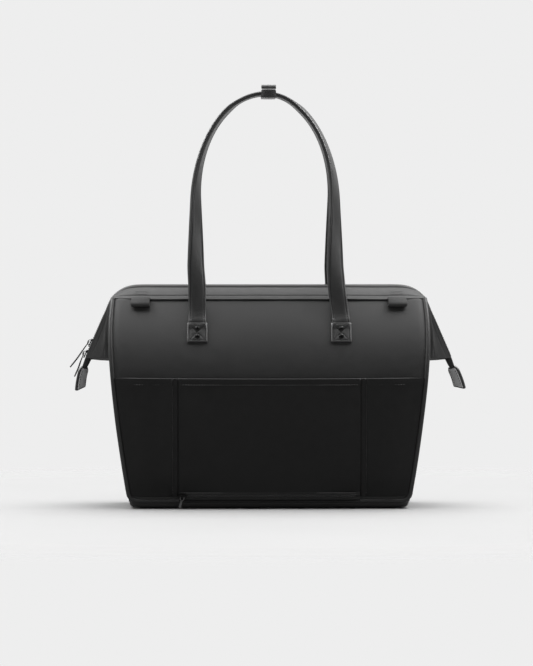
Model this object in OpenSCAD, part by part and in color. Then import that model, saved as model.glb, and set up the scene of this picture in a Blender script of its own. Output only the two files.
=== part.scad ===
// Structured diaper tote with a hinged steel mouth frame, a zipped top and two long handles.
// Frame: origin on the floor under the middle of the base, +Z up, +X to the right when the
// luggage sleeve faces the viewer, so the sleeve is on the -Y face (the back of the bag).

/* [Body] */
// Width of the bag at its base
base_w = 362; // [340:1:380]
// How much wider each side is at the belly than at the base
flare = 27; // [15:1:32]
// Depth of the bag at its base
base_d = 148; // [130:1:160]
// How much deeper each face is at mid height than at the base
swell = 6; // [2:1:10]
// Thickness of the padded shell
shell_t = 2.5; // [1.5:0.1:4]
// Height of the outer pockets' top edge
pocket_z = 169; // [150:1:172]
// Standing gap behind the outer pockets
pocket_gap = 8; // [7:0.5:12]

/* [Mouth] */
// Height of the seam under the top band
seam_z = 272; // [265:1:276]
// Height of the zip line along the top
top_z = 287.5; // [284:0.5:290]
// Half width of the flat top between the chamfered corners
top_half = 178; // [160:1:182]
// Half depth of the shell at the band seam
mouth_d = 36; // [30:1:42]
// Height of the frame's side pivots
pivot_z = 195; // [190:1:200]
// Diameter of the steel frame rod
rod_d = 5; // [4:0.5:6]

/* [Handles] */
// Half spacing of the handle straps
strap_x = 93; // [80:1:105]
// How far the arch leans towards -X
strap_lean = 4.6; // [0:0.1:6]
// Width of a handle strap
strap_w = 23; // [18:1:26]
// Thickness of a handle strap
strap_t = 5; // [4:0.5:6]
// Height of the top of the handle arch, at the middle of the strap
arch_z = 538; // [480:1:560]
// Height where the arch leaves the straight legs
arch_start_z = 400; // [380:1:420]

/* [Zips] */
// Half width of the main zip with its tapes
tape_half = 12; // [9:0.5:13]
// Half width that the ear tips reach
ear_x = 239; // [230:1:244]
// Height of the ear tips
ear_z = 193; // [192:1:196]

/* [Hidden] */
$fn = 48;

big = 600;
clear = 0.3;
lip_gap = 0.6;
board_t = 3;
lining_t = 1;
base_t = 2.5;
belly_z = 225;
swell_z = 120;
lean_z = 160;
lean_power = 1.9;
// The lower panels end just under the pocket edge, and flare so the upper ones can swing inside
split_z = pocket_z + 0.5;
tuck_z = split_z - 20;
tuck = 3;
upper_z = split_z + 0.7;
gusset_top_z = 130;
lining_top_z = 128;
fold_top_z = ear_z - 1;
pocket_t = 1.6;
pocket_off = pocket_gap + pocket_t;
pocket_base_z = 14;
pocket_edge = base_w / 2 + 2;
seat = 0.2;
sleeve_half = 121;
sleeve_zip_half = 118;
sleeve_zip_z = 17;
plate_r = 1;
patch_w = 25;
patch_h = 26;
patch_t = 3;
patch_z = 227;
rivet_gap = 11;
hinge_z = patch_z + patch_h / 2 + 2;
tooth_half = 3;
band_lap = 2.4;
facing_drop = 11;
facing_inset = 42;
tape_t = 1;
chain_t = 2.4;
zip_gap = 0.7;
slider_l = 11;
loop_w = 23;
loop_h = 13;
loop_d = 9.4;
loop_wall = 1.5;
keeper_half = 9.5;
keeper_wall = 1.4;
tab_gap = 4;
tab_leather = 2;
pin_r = 2;
eye_x = 198;
eye_t = 3;
tail_l = 10;
end_tab_l = 31;
end_tab_w = 26;
end_tab_t = 3.6;

charcoal = "#26272a";
black = "#17181a";
leather = "#1d1d1f";
steel = "#8d9096";
dark_metal = "#2e2f33";
lining_grey = "#6f7074";

// Half width and half depth of the shell's outer face at height z
function half_w(z) =
    z < belly_z ? base_w / 2 + flare * (1 - pow(1 - z / belly_z, 1.5))
                : base_w / 2 + flare - 3 * pow((z - belly_z) / (seam_z - belly_z), 2);
function lean(z) = pow(max(0, z - lean_z) / (seam_z + 1 - lean_z), lean_power);
function half_d(z) =
    z < swell_z ? base_d / 2 + swell * (1 - pow(1 - z / swell_z, 2))
                : base_d / 2 + swell - (base_d / 2 + swell - mouth_d) * lean(z);
// Outer face of the lower panels, which flares over the last stretch below the split
function lower_d(z) = half_d(z) + tuck * max(0, z - tuck_z) / (split_z - tuck_z);
function steps(a, b, n) = [for (i = [0 : n]) a + (b - a) * i / n];
function slope_at(z) = atan((half_d(z - 6) - half_d(z + 6)) / 12);

// Outline of the front view from base to top, drawn in X and Z
module front_outline(inset, z0, z1) {
    right = [for (z = steps(z0, min(z1, seam_z), 10)) [half_w(z) - inset, z]];
    top = z1 > seam_z ? [[top_half - inset, z1]] : [];
    half = concat(right, top);
    left = [for (i = [len(half) - 1 : -1 : 0]) [-half[i][0], half[i][1]]];
    rotate([90, 0, 0])
        linear_extrude(height = big, center = true)
            polygon(concat(half, left));
}

// A closed section drawn in Y and Z and run along X between two places
module along_x(x0, x1, points) {
    translate([x0, 0, 0])
        rotate([90, 0, 90])
            linear_extrude(height = x1 - x0)
                polygon(points);
}

// Sheet on the +Y face between two heights, as an outer list of points and a thickness
module face_sheet(outer, t, inset, z0, z1) {
    count = len(outer);
    inner = [for (i = [count - 1 : -1 : 0]) [outer[i][0] - t, outer[i][1]]];
    intersection() {
        along_x(-big / 2, big / 2, concat(outer, inner));
        front_outline(inset, z0, z1);
    }
}

module lower_panel() {
    outer = [for (z = concat(steps(base_t, tuck_z, 6), [split_z])) [lower_d(z), z]];
    face_sheet(outer, shell_t, 0, base_t, split_z);
}

module upper_panel() {
    outer = [for (z = steps(upper_z, seam_z, 8)) [half_d(z), z]];
    face_sheet(outer, shell_t, 3, upper_z, seam_z);
}

// The strip that hides the frame, from the shell's seam up to the zip tape
module band(drop, inset) {
    outer = [[mouth_d - drop, seam_z + 1 - drop], [tape_half + band_lap, top_z - drop]];
    face_sheet(outer, 2, inset, seam_z - drop - 12, top_z + 1);
}

module on_back() {
    mirror([0, 1, 0]) children();
}

module on_left() {
    mirror([1, 0, 0]) children();
}

// Side wall on the +X face between two heights
module side_sheet(z0, z1, t, depth_inset) {
    outer = [for (z = steps(z0, z1, 6)) [half_w(z), z]];
    inner = [for (z = steps(z1, z0, 6)) [half_w(z) - t, z]];
    right = [for (z = steps(z0, z1, 8)) [half_d(z) - depth_inset, z]];
    left = [for (z = steps(z1, z0, 8)) [depth_inset - half_d(z), z]];
    intersection() {
        rotate([90, 0, 0])
            linear_extrude(height = big, center = true)
                polygon(concat(outer, inner));
        along_x(-big / 2, big / 2, concat(right, left));
    }
}

module base_panel() {
    color(black)
        translate([-base_w / 2, -base_d / 2, 0])
            cube([base_w, base_d, base_t]);
}

module base_board() {
    color(charcoal)
        translate([-base_w / 2 + 8, -base_d / 2 + 5, base_t])
            cube([base_w - 16, base_d - 10, board_t]);
}

module lower_front_panel() {
    color(charcoal) lower_panel();
}

module lower_back_panel() {
    color(charcoal) on_back() lower_panel();
}

module right_gusset() {
    color(charcoal) side_sheet(base_t, gusset_top_z, shell_t, shell_t);
}

module left_gusset() {
    color(charcoal) on_left() right_gusset();
}

// The upper gusset folds as the mouth opens
module right_gusset_fold() {
    color(charcoal) side_sheet(gusset_top_z, fold_top_z, 2, shell_t + clear);
}

module left_gusset_fold() {
    color(charcoal) on_left() right_gusset_fold();
}

// A block that fills the shell from the board up, at a distance inside its outer face
module inner_block(inset, z0, z1) {
    wall = [for (z = steps(z0, z1, 6)) [half_d(z) - inset, z]];
    other = [for (z = steps(z1, z0, 6)) [inset - half_d(z), z]];
    intersection() {
        along_x(-big / 2, big / 2, concat(wall, other));
        front_outline(inset, z0, z1);
    }
}

module lining() {
    inset = shell_t + 0.5;
    floor_z = base_t + board_t + 0.2;
    color(lining_grey)
        difference() {
            inner_block(inset, floor_z, lining_top_z);
            inner_block(inset + lining_t, floor_z + lining_t, lining_top_z + 5);
        }
}

// Slip pocket sewn to the front wall of the lining
module inner_pocket() {
    width = 190;
    depth = 12;
    wall_y = base_d / 2 + 1.5 - shell_t - lining_t - 1;
    color(lining_grey)
        translate([-width / 2, wall_y - depth, 35])
            difference() {
                cube([width, depth, 80]);
                translate([lining_t, lining_t, lining_t])
                    cube([width - 2 * lining_t, depth, 80]);
            }
}

// A straight round rod between two points
module cord(p, q, d) {
    v = q - p;
    length = norm(v);
    translate(p)
        rotate([0, acos(v[2] / length), atan2(v[1], v[0])])
            cylinder(h = length, d = d);
}

// A closed skin over rings of points that all have the same count
module sweep(rings) {
    n = len(rings);
    k = len(rings[0]);
    skin = [for (i = [0 : n - 2]) for (j = [0 : k - 1]) for (f = [0, 1])
        let (a = k * i + j, b = k * i + (j + 1) % k)
            f == 0 ? [a, b, b + k] : [a, b + k, a + k]];
    ends = [[for (j = [k - 1 : -1 : 0]) j], [for (j = [0 : k - 1]) k * (n - 1) + j]];
    polyhedron(points = [for (r = rings) each r], faces = concat(skin, ends), convexity = 8);
}

function unit(v) = v / norm(v);
function mirrored(half) =
    concat(half, [for (i = [len(half) - 1 : -1 : 0]) [-half[i][0], half[i][1], half[i][2]]]);

piping_r = 1.8;
piping_out = 2.2;
piping_low = piping_r + 0.2;

// The piping's route down one side of the +Y face, round the corner and to the middle
function piping_side() =
    [for (z = steps(split_z - 3, piping_low + 8, 12))
        [half_w(z) + piping_out, lower_d(z) + piping_out, z]];
function piping_corner() =
    let (r = 8, z = piping_low + r, x = half_w(z) + piping_out - r)
        [for (a = [20 : 20 : 80]) [x + r * cos(a), lower_d(z - r) + piping_out, z - r * sin(a)]];
function piping_route() =
    mirrored(concat(piping_side(), piping_corner(),
                    [[base_w / 4, lower_d(0) + piping_out, piping_low]]));
function round_ring(path, i) =
    let (n = len(path),
         along = unit(path[min(n - 1, i + 1)] - path[max(0, i - 1)]),
         side = unit(cross(along, [0, 1, 0])),
         face = cross(along, side))
        [for (a = [0 : 45 : 315]) path[i] + piping_r * (side * cos(a) + face * sin(a))];

// Piping along both sides and the foot of the +Y face
module piping() {
    path = piping_route();
    sweep([for (i = [0 : len(path) - 1]) round_ring(path, i)]);
}

module front_piping() {
    color(black) piping();
}

module back_piping() {
    color(black) on_back() piping();
}

// Pocket layer on the +Y face: an outer wall, two side seams and, where asked, a closed foot
module pocket(x0, x1, foot_z, closed) {
    seam = 2;
    low = closed ? foot_z + seam : foot_z - 5;
    outer = [for (z = steps(foot_z, pocket_z, 8)) [half_d(z) + pocket_off, z]];
    back = [for (z = concat([pocket_z], steps(tuck_z, foot_z, 6))) [lower_d(z) + seat, z]];
    room = [for (z = steps(low, pocket_z + 2, 8)) [half_d(z) + pocket_gap, z]];
    room_back = [for (z = steps(pocket_z + 2, low, 8)) [half_d(z) - 2, z]];
    difference() {
        along_x(x0, x1, concat(outer, back));
        along_x(x0 + seam, x1 - seam, concat(room, room_back));
    }
}

module right_slip_pocket() {
    color(black)
        on_back() {
            pocket(sleeve_half + 1, pocket_edge, pocket_base_z, true);
            slip_edge();
        }
}

// The slip pocket's outer edge leans outward with the body
module slip_edge() {
    outer = [for (z = steps(pocket_base_z, pocket_z, 8)) [half_d(z) + pocket_off, z]];
    back = [for (z = concat([pocket_z], steps(tuck_z, pocket_base_z, 6))) [lower_d(z) + seat, z]];
    intersection() {
        along_x(pocket_edge, pocket_edge + 40, concat(outer, back));
        front_outline(1.5, pocket_base_z - 5, pocket_z + 5);
    }
}

module left_slip_pocket() {
    color(black) on_left() right_slip_pocket();
}

module luggage_sleeve() {
    color(black)
        on_back()
            pocket(-sleeve_half, sleeve_half, sleeve_zip_z + 3, false);
}

module front_pocket() {
    color(black) {
        pocket(-pocket_edge, pocket_edge, pocket_base_z, true);
        slip_edge();
        on_left() slip_edge();
    }
}

// Two zip tapes at the sleeve's foot; the lower one returns to the shell
module sleeve_zip() {
    y = half_d(sleeve_zip_z) + pocket_gap;
    shell_y = half_d(sleeve_zip_z) + 0.2;
    half = sleeve_zip_half;
    color(dark_metal)
        on_back() {
            translate([-half, y, sleeve_zip_z + 0.5])
                cube([2 * half, 1.2, 2.2]);
            translate([-half, y, sleeve_zip_z - 3])
                cube([2 * half, 1.2, 2.5]);
            translate([-half, shell_y, sleeve_zip_z - 4])
                cube([2 * half, y + 1.2 - shell_y, 1]);
        }
}

// A strip in the plane of the zip: it runs from p to q in X and Z, and from y0 to y1 across
module strip(p, q, y0, y1, t) {
    run = q - p;
    translate([p[0], y0, p[1]])
        rotate([0, -atan2(run[1], run[0]), 0])
            translate([0, 0, -t / 2])
                cube([norm(run), y1 - y0, t]);
}

corner = [top_half, top_z - 0.5];
shoulder = [half_w(seam_z) - 0.5, seam_z];
tip = [ear_x, ear_z];
slope_run = shoulder - tip;
slope_dir = slope_run / norm(slope_run);
slope_out = [slope_dir[1], -slope_dir[0]];
slope_angle = atan2(slope_run[0], slope_run[1]);

// The zip's route over the bag in X and Z, from one ear tip to the other
zip_end = tip + 3.4 * slope_dir;
zip_route = [[-zip_end[0], zip_end[1]], [-shoulder[0], shoulder[1]], [-corner[0], corner[1]],
             corner, shoulder, zip_end];
function turn_left(v) = [-v[1], v[0]];
// Points beside the route, mitred at its corners
function beside(route, off) =
    [for (i = [0 : len(route) - 1])
        let (before = unit(route[max(1, i)] - route[max(1, i) - 1]),
             last = min(len(route) - 2, i),
             after = unit(route[last + 1] - route[last]),
             out = unit(turn_left(before + after)))
            route[i] + out * off / (out * turn_left(before))];
function reversed(list) = [for (i = [len(list) - 1 : -1 : 0]) list[i]];

// One half of the main zip: tape and chain along the top, the chamfers and the ears
module zip_half() {
    for (part = [[tape_half, tape_t], [tooth_half, chain_t]])
        translate([0, part[0], 0])
            rotate([90, 0, 0])
                linear_extrude(height = part[0] - zip_gap)
                    polygon(concat(beside(zip_route, part[1] / 2),
                                   reversed(beside(zip_route, -part[1] / 2))));
}

module scale_x(side) {
    if (side > 0) children();
    else on_left() children();
}

module front_zip_tape() {
    color(dark_metal) zip_half();
}

module back_zip_tape() {
    color(dark_metal) on_back() zip_half();
}

// A thin three-cornered sheet
module leaf(a, b, c) {
    hull()
        for (p = [a, b, c])
            translate(p) sphere(r = plate_r, $fn = 12);
}

// One fabric leaf of an ear, on the +X side of the +Y face
module ear() {
    foot = [half_w(fold_top_z + 2) - 1, half_d(fold_top_z + 2) - 1, fold_top_z + 2.5];
    seam = [half_w(seam_z) - 1, mouth_d - 1, seam_z - 0.5];
    edge = [shoulder[0], tape_half + 1.5, shoulder[1]];
    end = [tip[0], tape_half - 0.5, tip[1] + 1];
    top = [corner[0], tape_half + 1.5, corner[1]];
    leaf(foot, seam, edge);
    leaf(foot, edge, end);
    leaf(seam, edge, top);
}

module right_front_ear() {
    color(charcoal) trimmed_ear();
}

// The ear keeps clear of the tape that it is sewn to
module trimmed_ear() {
    difference() {
        ear();
        strip(tip - 12 * slope_dir, shoulder + 4 * slope_dir, -20, tape_half + 0.2, 3);
    }
}

module left_front_ear() {
    color(charcoal) on_left() trimmed_ear();
}

module right_back_ear() {
    color(charcoal) on_back() trimmed_ear();
}

module left_back_ear() {
    color(charcoal) on_left() on_back() trimmed_ear();
}

module upper_front_panel() {
    color(charcoal)
        difference() {
            upper_panel();
            rivet_holes();
        }
}

module upper_back_panel() {
    color(charcoal)
        on_back()
            difference() {
                upper_panel();
                rivet_holes();
            }
}

module front_band() {
    color(charcoal) band(0, 4);
}

module back_band() {
    color(charcoal) on_back() band(0, 4);
}

module front_facing() {
    color(lining_grey) band(facing_drop, facing_inset);
}

module back_facing() {
    color(lining_grey) on_back() band(facing_drop, facing_inset);
}

// Steel U frame: a top bar in the band and two legs that end in eyes on the side pivots
module frame_rod(eye_face) {
    y_top = 25;
    y_leg = 9;
    knuckle_d = rod_d + 0.8;
    leg_x = eye_face + eye_t / 2;
    bar_z = top_z - 14;
    bend = [leg_x, y_leg, bar_z - 22];
    low = [leg_x, 3, pivot_z + 9];
    end = [top_half - 8, y_top, bar_z];
    for (side = [1, -1])
        scale_x(side) {
            cord(end, bend, rod_d);
            cord(bend, low, rod_d);
            translate(bend) sphere(d = knuckle_d);
            translate(end) sphere(d = knuckle_d);
            difference() {
                eye(eye_face);
                translate([eye_face - 5, 0, pivot_z])
                    rotate([0, 90, 0])
                        cylinder(h = 20, r = pin_r + 0.08);
            }
        }
    cord([-end[0], end[1], end[2]], end, rod_d);
}

// Flat eye with a short neck that the leg is welded to
module eye(face) {
    translate([face, 0, pivot_z])
        rotate([0, 90, 0])
            cylinder(h = eye_t, r = 6);
    translate([face, -3, pivot_z + 2])
        cube([eye_t, 8, 9]);
}

module front_frame() {
    color(steel) frame_rod(eye_x);
}

module back_frame() {
    color(steel) on_back() frame_rod(eye_x - eye_t - 1);
}

// Pins through both frames' eyes, with a head at each end
module frame_pins() {
    x0 = eye_x - eye_t - 1 - clear;
    x1 = eye_x + eye_t + clear;
    color(steel)
        for (side = [1, -1])
            scale_x(side)
                translate([x0 - 1.5, 0, pivot_z])
                    rotate([0, 90, 0]) {
                        cylinder(h = x1 - x0 + 3, r = pin_r);
                        cylinder(h = 1.5, r = 4);
                        translate([0, 0, x1 - x0 + 1.5]) cylinder(h = 1.5, r = 4);
                    }
}

patch_slope = slope_at(patch_z);
patch_y = half_d(patch_z) + 1;

// Places a piece on the +Y face's patch, with local Y out of the panel
module at_patch(side) {
    translate([side * strap_x, patch_y, patch_z])
        rotate([patch_slope, 0, 0])
            children();
}

module rivet_holes() {
    for (side = [1, -1])
        for (dz = [-rivet_gap / 2, rivet_gap / 2])
            at_patch(side)
                translate([0, 6, dz])
                    rotate([90, 0, 0])
                        cylinder(h = 14, r = 1.5);
}

module patch(side) {
    color(leather)
        difference() {
            at_patch(side)
                translate([-patch_w / 2, 0, -patch_h / 2])
                    cube([patch_w, patch_t, patch_h]);
            rivet_holes();
        }
}

module rivets() {
    for (side = [1, -1])
        for (dz = [-rivet_gap / 2, rivet_gap / 2])
            at_patch(side)
                translate([0, patch_t + 1.3, dz])
                    rotate([90, 0, 0]) {
                        cylinder(h = 1.2, r = 3);
                        cylinder(h = 10, r = 1.2);
                        translate([0, 0, 9]) cylinder(h = 1, r = 2.6);
                    }
}

module front_left_patch() {
    patch(-1);
}

module front_right_patch() {
    patch(1);
}

module back_left_patch() {
    on_back() patch(-1);
}

module back_right_patch() {
    on_back() patch(1);
}

module front_rivets() {
    color(dark_metal) rivets();
}

module back_rivets() {
    color(dark_metal) on_back() rivets();
}

// A leg comes in this much above its patch, stands this far out there, and drops back this much above it
strap_in = 2.7;
apex_y = strap_w / 2 + 2;
leg_y = half_d(hinge_z) + 4.1;
leg_drop = 4;

// Centre line of a strap: off the panel, up a leg that stands free, then an elliptical arch
function strap_y(z) =
    apex_y + (leg_y - leg_drop - apex_y) * pow((arch_z - z) / (arch_z - hinge_z), 1.15)
        + leg_drop * exp((hinge_z - z) / 10);
function leg_point(side, z) =
    [side * (strap_x - strap_in * min(1, (z - hinge_z) / 45))
         - strap_lean * min(1, (z - hinge_z) / 70), strap_y(z), z];
function leg_points(side) =
    [for (z = concat(steps(hinge_z, seam_z, 3), steps(290, arch_start_z - 8, 6)))
        leg_point(side, z)];
function arch_point(a) =
    let (z = arch_start_z + (arch_z - arch_start_z) * sin(a))
        [(strap_x - strap_in) * cos(a) - strap_lean, strap_y(z), z];
function full_path() =
    concat(leg_points(1), [for (a = [0 : 7.5 : 180]) arch_point(a)], reversed(leg_points(-1)));

// The strap makes half a turn along its length: a quarter up each side of the arch, flat inside the keeper
turn_start_z = 270;
turn_rise = 230;
flat_z = 530;
function turn(z) =
    z > flat_z ? 90 : 85 * (1 - pow(1 - min(1, max(0, z - turn_start_z) / turn_rise), 1.7));
function ring(path, i) =
    let (n = len(path),
         p = path[i],
         along = unit(path[min(n - 1, i + 1)] - path[max(0, i - 1)]),
         side = unit([along[2], 0, -along[0]]),
         face = unit(cross(along, side)),
         right = i < (n - 1) / 2 ? 1 : -1,
         a = turn(p[2]),
         wide = right * side * cos(a) - face * sin(a),
         thick = cross(along, wide))
        [for (c = [[-1, -1], [1, -1], [1, 1], [-1, 1]])
            p + wide * (c[0] * strap_w / 2) + thick * (c[1] * strap_t / 2)];

module handle() {
    path = full_path();
    sweep([for (i = [0 : len(path) - 1]) ring(path, i)]);
}

module front_handle() {
    color(leather) handle();
}

module back_handle() {
    color(leather) on_back() handle();
}

// The arch leans, so it falls a little under the keeper, which is level
keeper_z = arch_z - 0.9;

// A leather band round the strap's top
module keeper_band() {
    room = 0.4;
    w = strap_w + 2 * room;
    t = strap_t + 2 * room + 1.2;
    difference() {
        translate([-keeper_half, apex_y - w / 2 - keeper_wall + 0.6, keeper_z - t / 2 - keeper_wall])
            cube([2 * keeper_half, w + 2 * keeper_wall - 0.6, t + 2 * keeper_wall]);
        translate([-keeper_half - 1, apex_y - w / 2, keeper_z - t / 2])
            cube([2 * keeper_half + 2, w, t]);
    }
}

keeper_top = keeper_z + strap_t / 2 + 0.4 + 0.6 + keeper_wall;

module front_keeper() {
    color(leather) keeper_band();
}

module back_keeper() {
    color(leather) on_back() keeper_band();
}

// Snap stud on top of the far band
module keeper_stud() {
    color(steel)
        translate([0, apex_y, keeper_top])
            cylinder(h = 1.6, r = 3);
}

tab_z = keeper_top + tab_gap;
tab_near_y = -apex_y - strap_w / 2 - 1;
tab_far_y = apex_y + 9;

// The closing tab bridges both bands and hinges on the near one
module keeper_tab() {
    color(leather)
        difference() {
            union() {
                translate([-keeper_half, tab_near_y, tab_z])
                    cube([2 * keeper_half, tab_far_y - tab_near_y, tab_leather]);
                translate([-keeper_half, tab_near_y, keeper_top + lip_gap])
                    cube([2 * keeper_half, tab_leather, tab_gap]);
            }
            translate([0, apex_y, tab_z - 1]) cylinder(h = 5, r = 1.6);
        }
}

module snap_cap() {
    color(dark_metal)
        translate([0, apex_y, tab_z]) {
            cylinder(h = tab_leather + 0.5, r = 1.5);
            translate([0, 0, tab_leather])
                rotate_extrude()
                    polygon([[0, 0], [4.5, 0], [4.2, 1], [2.5, 1.7], [0, 2]]);
        }
}

// Places a piece on the left ear's zip: local Z up the slope, local X out of the bag
module on_slope(along) {
    on_left()
        translate([tip[0] + along * slope_dir[0], 0, tip[1] + along * slope_dir[1]])
            rotate([0, slope_angle, 0])
                children();
}

// Slider body with an outer wing, an inner wing, a thin post and a bail for the puller
module slider_body() {
    color(dark_metal)
        difference() {
            union() {
                translate([1.7, -4.5, -slider_l / 2]) cube([1.3, 9, slider_l]);
                translate([-3.6, -4.5, -slider_l / 2]) cube([1.3, 9, slider_l]);
                translate([-3.6, -0.4, slider_l / 2 - 4]) cube([6.6, 0.8, 4]);
                translate([3, -1.5, -3.5]) cube([3.2, 3, 7]);
            }
            translate([4.6, -3, 0]) rotate([-90, 0, 0]) cylinder(h = 6, r = 0.95);
        }
}

upper_along = 21;
lower_along = 5;
upper_hang = 36.5;
lower_hang = 22;
bail_out = 4.6;
function bail(along) = [-(tip[0] + along * slope_dir[0] + bail_out * slope_out[0]),
                        tip[1] + along * slope_dir[1] + bail_out * slope_out[1]];

module upper_slider() {
    on_slope(upper_along) slider_body();
}

module lower_slider() {
    on_slope(lower_along) slider_body();
}

// Puller: a pin in the bail, two cheeks and a flat grip that hangs at an angle
module puller(angle, length) {
    color(dark_metal)
        rotate([0, angle, 0]) {
            translate([0, -3.3, 0]) rotate([-90, 0, 0]) cylinder(h = 6.6, r = 0.8);
            for (y = [-3.3, 2.1])
                translate([-0.8, y, -8]) cube([1.6, 1.2, 8]);
            translate([-0.8, -3.3, -length]) cube([1.6, 6.6, length - 7.5]);
        }
}

module upper_puller() {
    p = bail(upper_along);
    translate([p[0], 0, p[1]]) puller(upper_hang, 42);
}

module lower_puller() {
    p = bail(lower_along);
    translate([p[0], 0, p[1]]) puller(lower_hang, 34);
}

tail_angle = 10;
tail_low = [tip[0] + tail_l * sin(tail_angle), tip[1] - 3 - tail_l * cos(tail_angle)];

// The sewn end of the closed zip, below the ear
module tail() {
    strip([tail_low[0], tail_low[1] + 2.3], [tip[0] + 0.5, tip[1] - 2], -9, 9, 1.6);
}

module right_zip_tail() {
    color(dark_metal) tail();
}

module left_zip_tail() {
    color(dark_metal) on_left() tail();
}

// Folded leather tab at the zip's end, rounded where it folds over
module end_tab(angle) {
    color(leather)
        translate([tail_low[0], 0, tail_low[1]])
            rotate([0, -angle, 0]) {
                rotate([90, 0, 0]) cylinder(h = end_tab_w, r = end_tab_t / 2, center = true);
                translate([-end_tab_t / 2, -end_tab_w / 2, -end_tab_l])
                    cube([end_tab_t, end_tab_w, end_tab_l]);
            }
}

module right_zip_tab() {
    end_tab(20);
}

module left_zip_tab() {
    on_left() end_tab(0);
}

sleeve_face = half_d(sleeve_zip_z) + pocket_gap;
sleeve_slider_x = -112;

module sleeve_slider() {
    color(dark_metal)
        translate([sleeve_slider_x, -sleeve_face, sleeve_zip_z])
            difference() {
                union() {
                    translate([-slider_l / 2, -3.6, -4.5]) cube([slider_l, 1.3, 9]);
                    translate([-slider_l / 2, 1, -1.5]) cube([slider_l, 1.2, 6]);
                    translate([-slider_l / 2, -3.6, -0.3]) cube([4, 5.8, 0.6]);
                    translate([-3.5, -6.4, -1.5]) cube([7, 3, 3]);
                }
                translate([-5, -5, 0]) rotate([0, 90, 0]) cylinder(h = 10, r = 0.95);
            }
}

module sleeve_puller() {
    length = 14;
    color(dark_metal)
        translate([sleeve_slider_x, -sleeve_face - 5, sleeve_zip_z]) {
            translate([-5.4, 0, 0]) rotate([0, 90, 0]) cylinder(h = 10.8, r = 0.8);
            for (x = [-5.4, 4.2])
                translate([x, -0.7, -7]) cube([1.2, 1.4, 7]);
            translate([-5.4, -0.7, -length]) cube([10.8, 1.4, length - 6.5]);
        }
}

loop_z = seam_z - 1;
loop_slope = slope_at(seam_z - 8);
loop_y = half_d(loop_z) + 1;

// A folded loop of webbing that hangs from the band's seam, open along X
module webbing_loop(x) {
    color(black)
        on_back()
            translate([x, loop_y, loop_z])
                rotate([loop_slope, 0, 0])
                    difference() {
                        translate([-loop_w / 2, 0, -loop_h]) cube([loop_w, loop_d, loop_h]);
                        translate([-loop_w, loop_wall, -loop_h + loop_wall])
                            cube([2 * loop_w, loop_d - 2 * loop_wall, loop_h - 2 * loop_wall]);
                    }
}

module left_webbing_loop() {
    webbing_loop(-166);
}

module right_webbing_loop() {
    webbing_loop(166);
}

base_panel();
base_board();
lower_back_panel();
lower_front_panel();
left_gusset();
right_gusset();
left_gusset_fold();
right_gusset_fold();
lining();
inner_pocket();
back_piping();
front_piping();
left_slip_pocket();
luggage_sleeve();
right_slip_pocket();
sleeve_zip();
front_pocket();
left_zip_tail();
right_zip_tail();
frame_pins();
upper_back_panel();
back_band();
back_facing();
back_frame();
left_back_ear();
right_back_ear();
back_zip_tape();
back_left_patch();
back_right_patch();
back_rivets();
upper_front_panel();
front_band();
front_facing();
front_frame();
left_front_ear();
right_front_ear();
front_zip_tape();
front_left_patch();
front_right_patch();
front_rivets();
back_handle();
back_keeper();
front_handle();
front_keeper();
keeper_stud();
keeper_tab();
snap_cap();
upper_slider();
upper_puller();
lower_slider();
lower_puller();
sleeve_slider();
sleeve_puller();
left_webbing_loop();
right_webbing_loop();
left_zip_tab();
right_zip_tab();
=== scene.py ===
from math import atan, atan2, cos, degrees, exp, hypot, pi, radians, sin, sqrt

import bmesh
import bpy
import numpy as np
from mathutils import Matrix, Vector, noise


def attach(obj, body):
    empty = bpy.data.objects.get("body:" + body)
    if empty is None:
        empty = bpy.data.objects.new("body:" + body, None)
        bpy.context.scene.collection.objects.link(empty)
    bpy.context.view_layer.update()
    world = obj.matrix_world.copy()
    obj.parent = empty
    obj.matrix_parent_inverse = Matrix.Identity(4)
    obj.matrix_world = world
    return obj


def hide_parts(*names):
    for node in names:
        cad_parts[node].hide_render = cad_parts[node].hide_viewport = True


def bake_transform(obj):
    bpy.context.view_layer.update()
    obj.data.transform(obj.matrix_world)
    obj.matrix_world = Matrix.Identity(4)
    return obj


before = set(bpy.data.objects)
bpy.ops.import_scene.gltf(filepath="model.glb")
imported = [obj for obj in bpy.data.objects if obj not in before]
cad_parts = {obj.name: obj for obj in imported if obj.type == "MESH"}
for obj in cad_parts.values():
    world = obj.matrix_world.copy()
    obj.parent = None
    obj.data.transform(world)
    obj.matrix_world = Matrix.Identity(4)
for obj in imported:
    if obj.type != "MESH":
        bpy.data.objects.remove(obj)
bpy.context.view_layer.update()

# Shape code works in millimetres, in the frame's axes: the back of the bag, with the sleeve, is -Y.
MM = 0.001

# The bag's sizes, as part.scad has them
BASE_W, FLARE, BASE_D, SWELL = 362.0, 27.0, 148.0, 6.0
BELLY_Z, SWELL_Z, LEAN_Z, LEAN_POWER = 225.0, 120.0, 160.0, 1.9
SEAM_Z, MOUTH_D = 272.0, 36.0
POCKET_Z, SLEEVE_ZIP_Z = 169.0, 17.0
PIVOT_Z = 195.0
HINGE_Z, STRAP_X, STRAP_W, STRAP_T, ARCH_Z, ARCH_START_Z = 242.0, 93.0, 23.0, 5.0, 538.0, 400.0
STRAP_IN, STRAP_LEAN, KEEPER_Z = 2.7, 4.6, 537.1
PATCH_Z = 227.0
TIP = (239.0, 193.0)
SHOULDER = (204.5, 272.0)
TAPE_HALF = 12.0


def clamp(x, lo=0.0, hi=1.0):
    return max(lo, min(hi, x))


def smooth(a, b, x):
    t = clamp((x - a) / (b - a))
    return t * t * (3 - 2 * t)


def half_w(z):
    if z < BELLY_Z:
        return BASE_W / 2 + FLARE * (1 - (1 - max(z, 0) / BELLY_Z) ** 1.5)
    return BASE_W / 2 + FLARE - 3 * ((z - BELLY_Z) / (SEAM_Z - BELLY_Z)) ** 2


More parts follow.
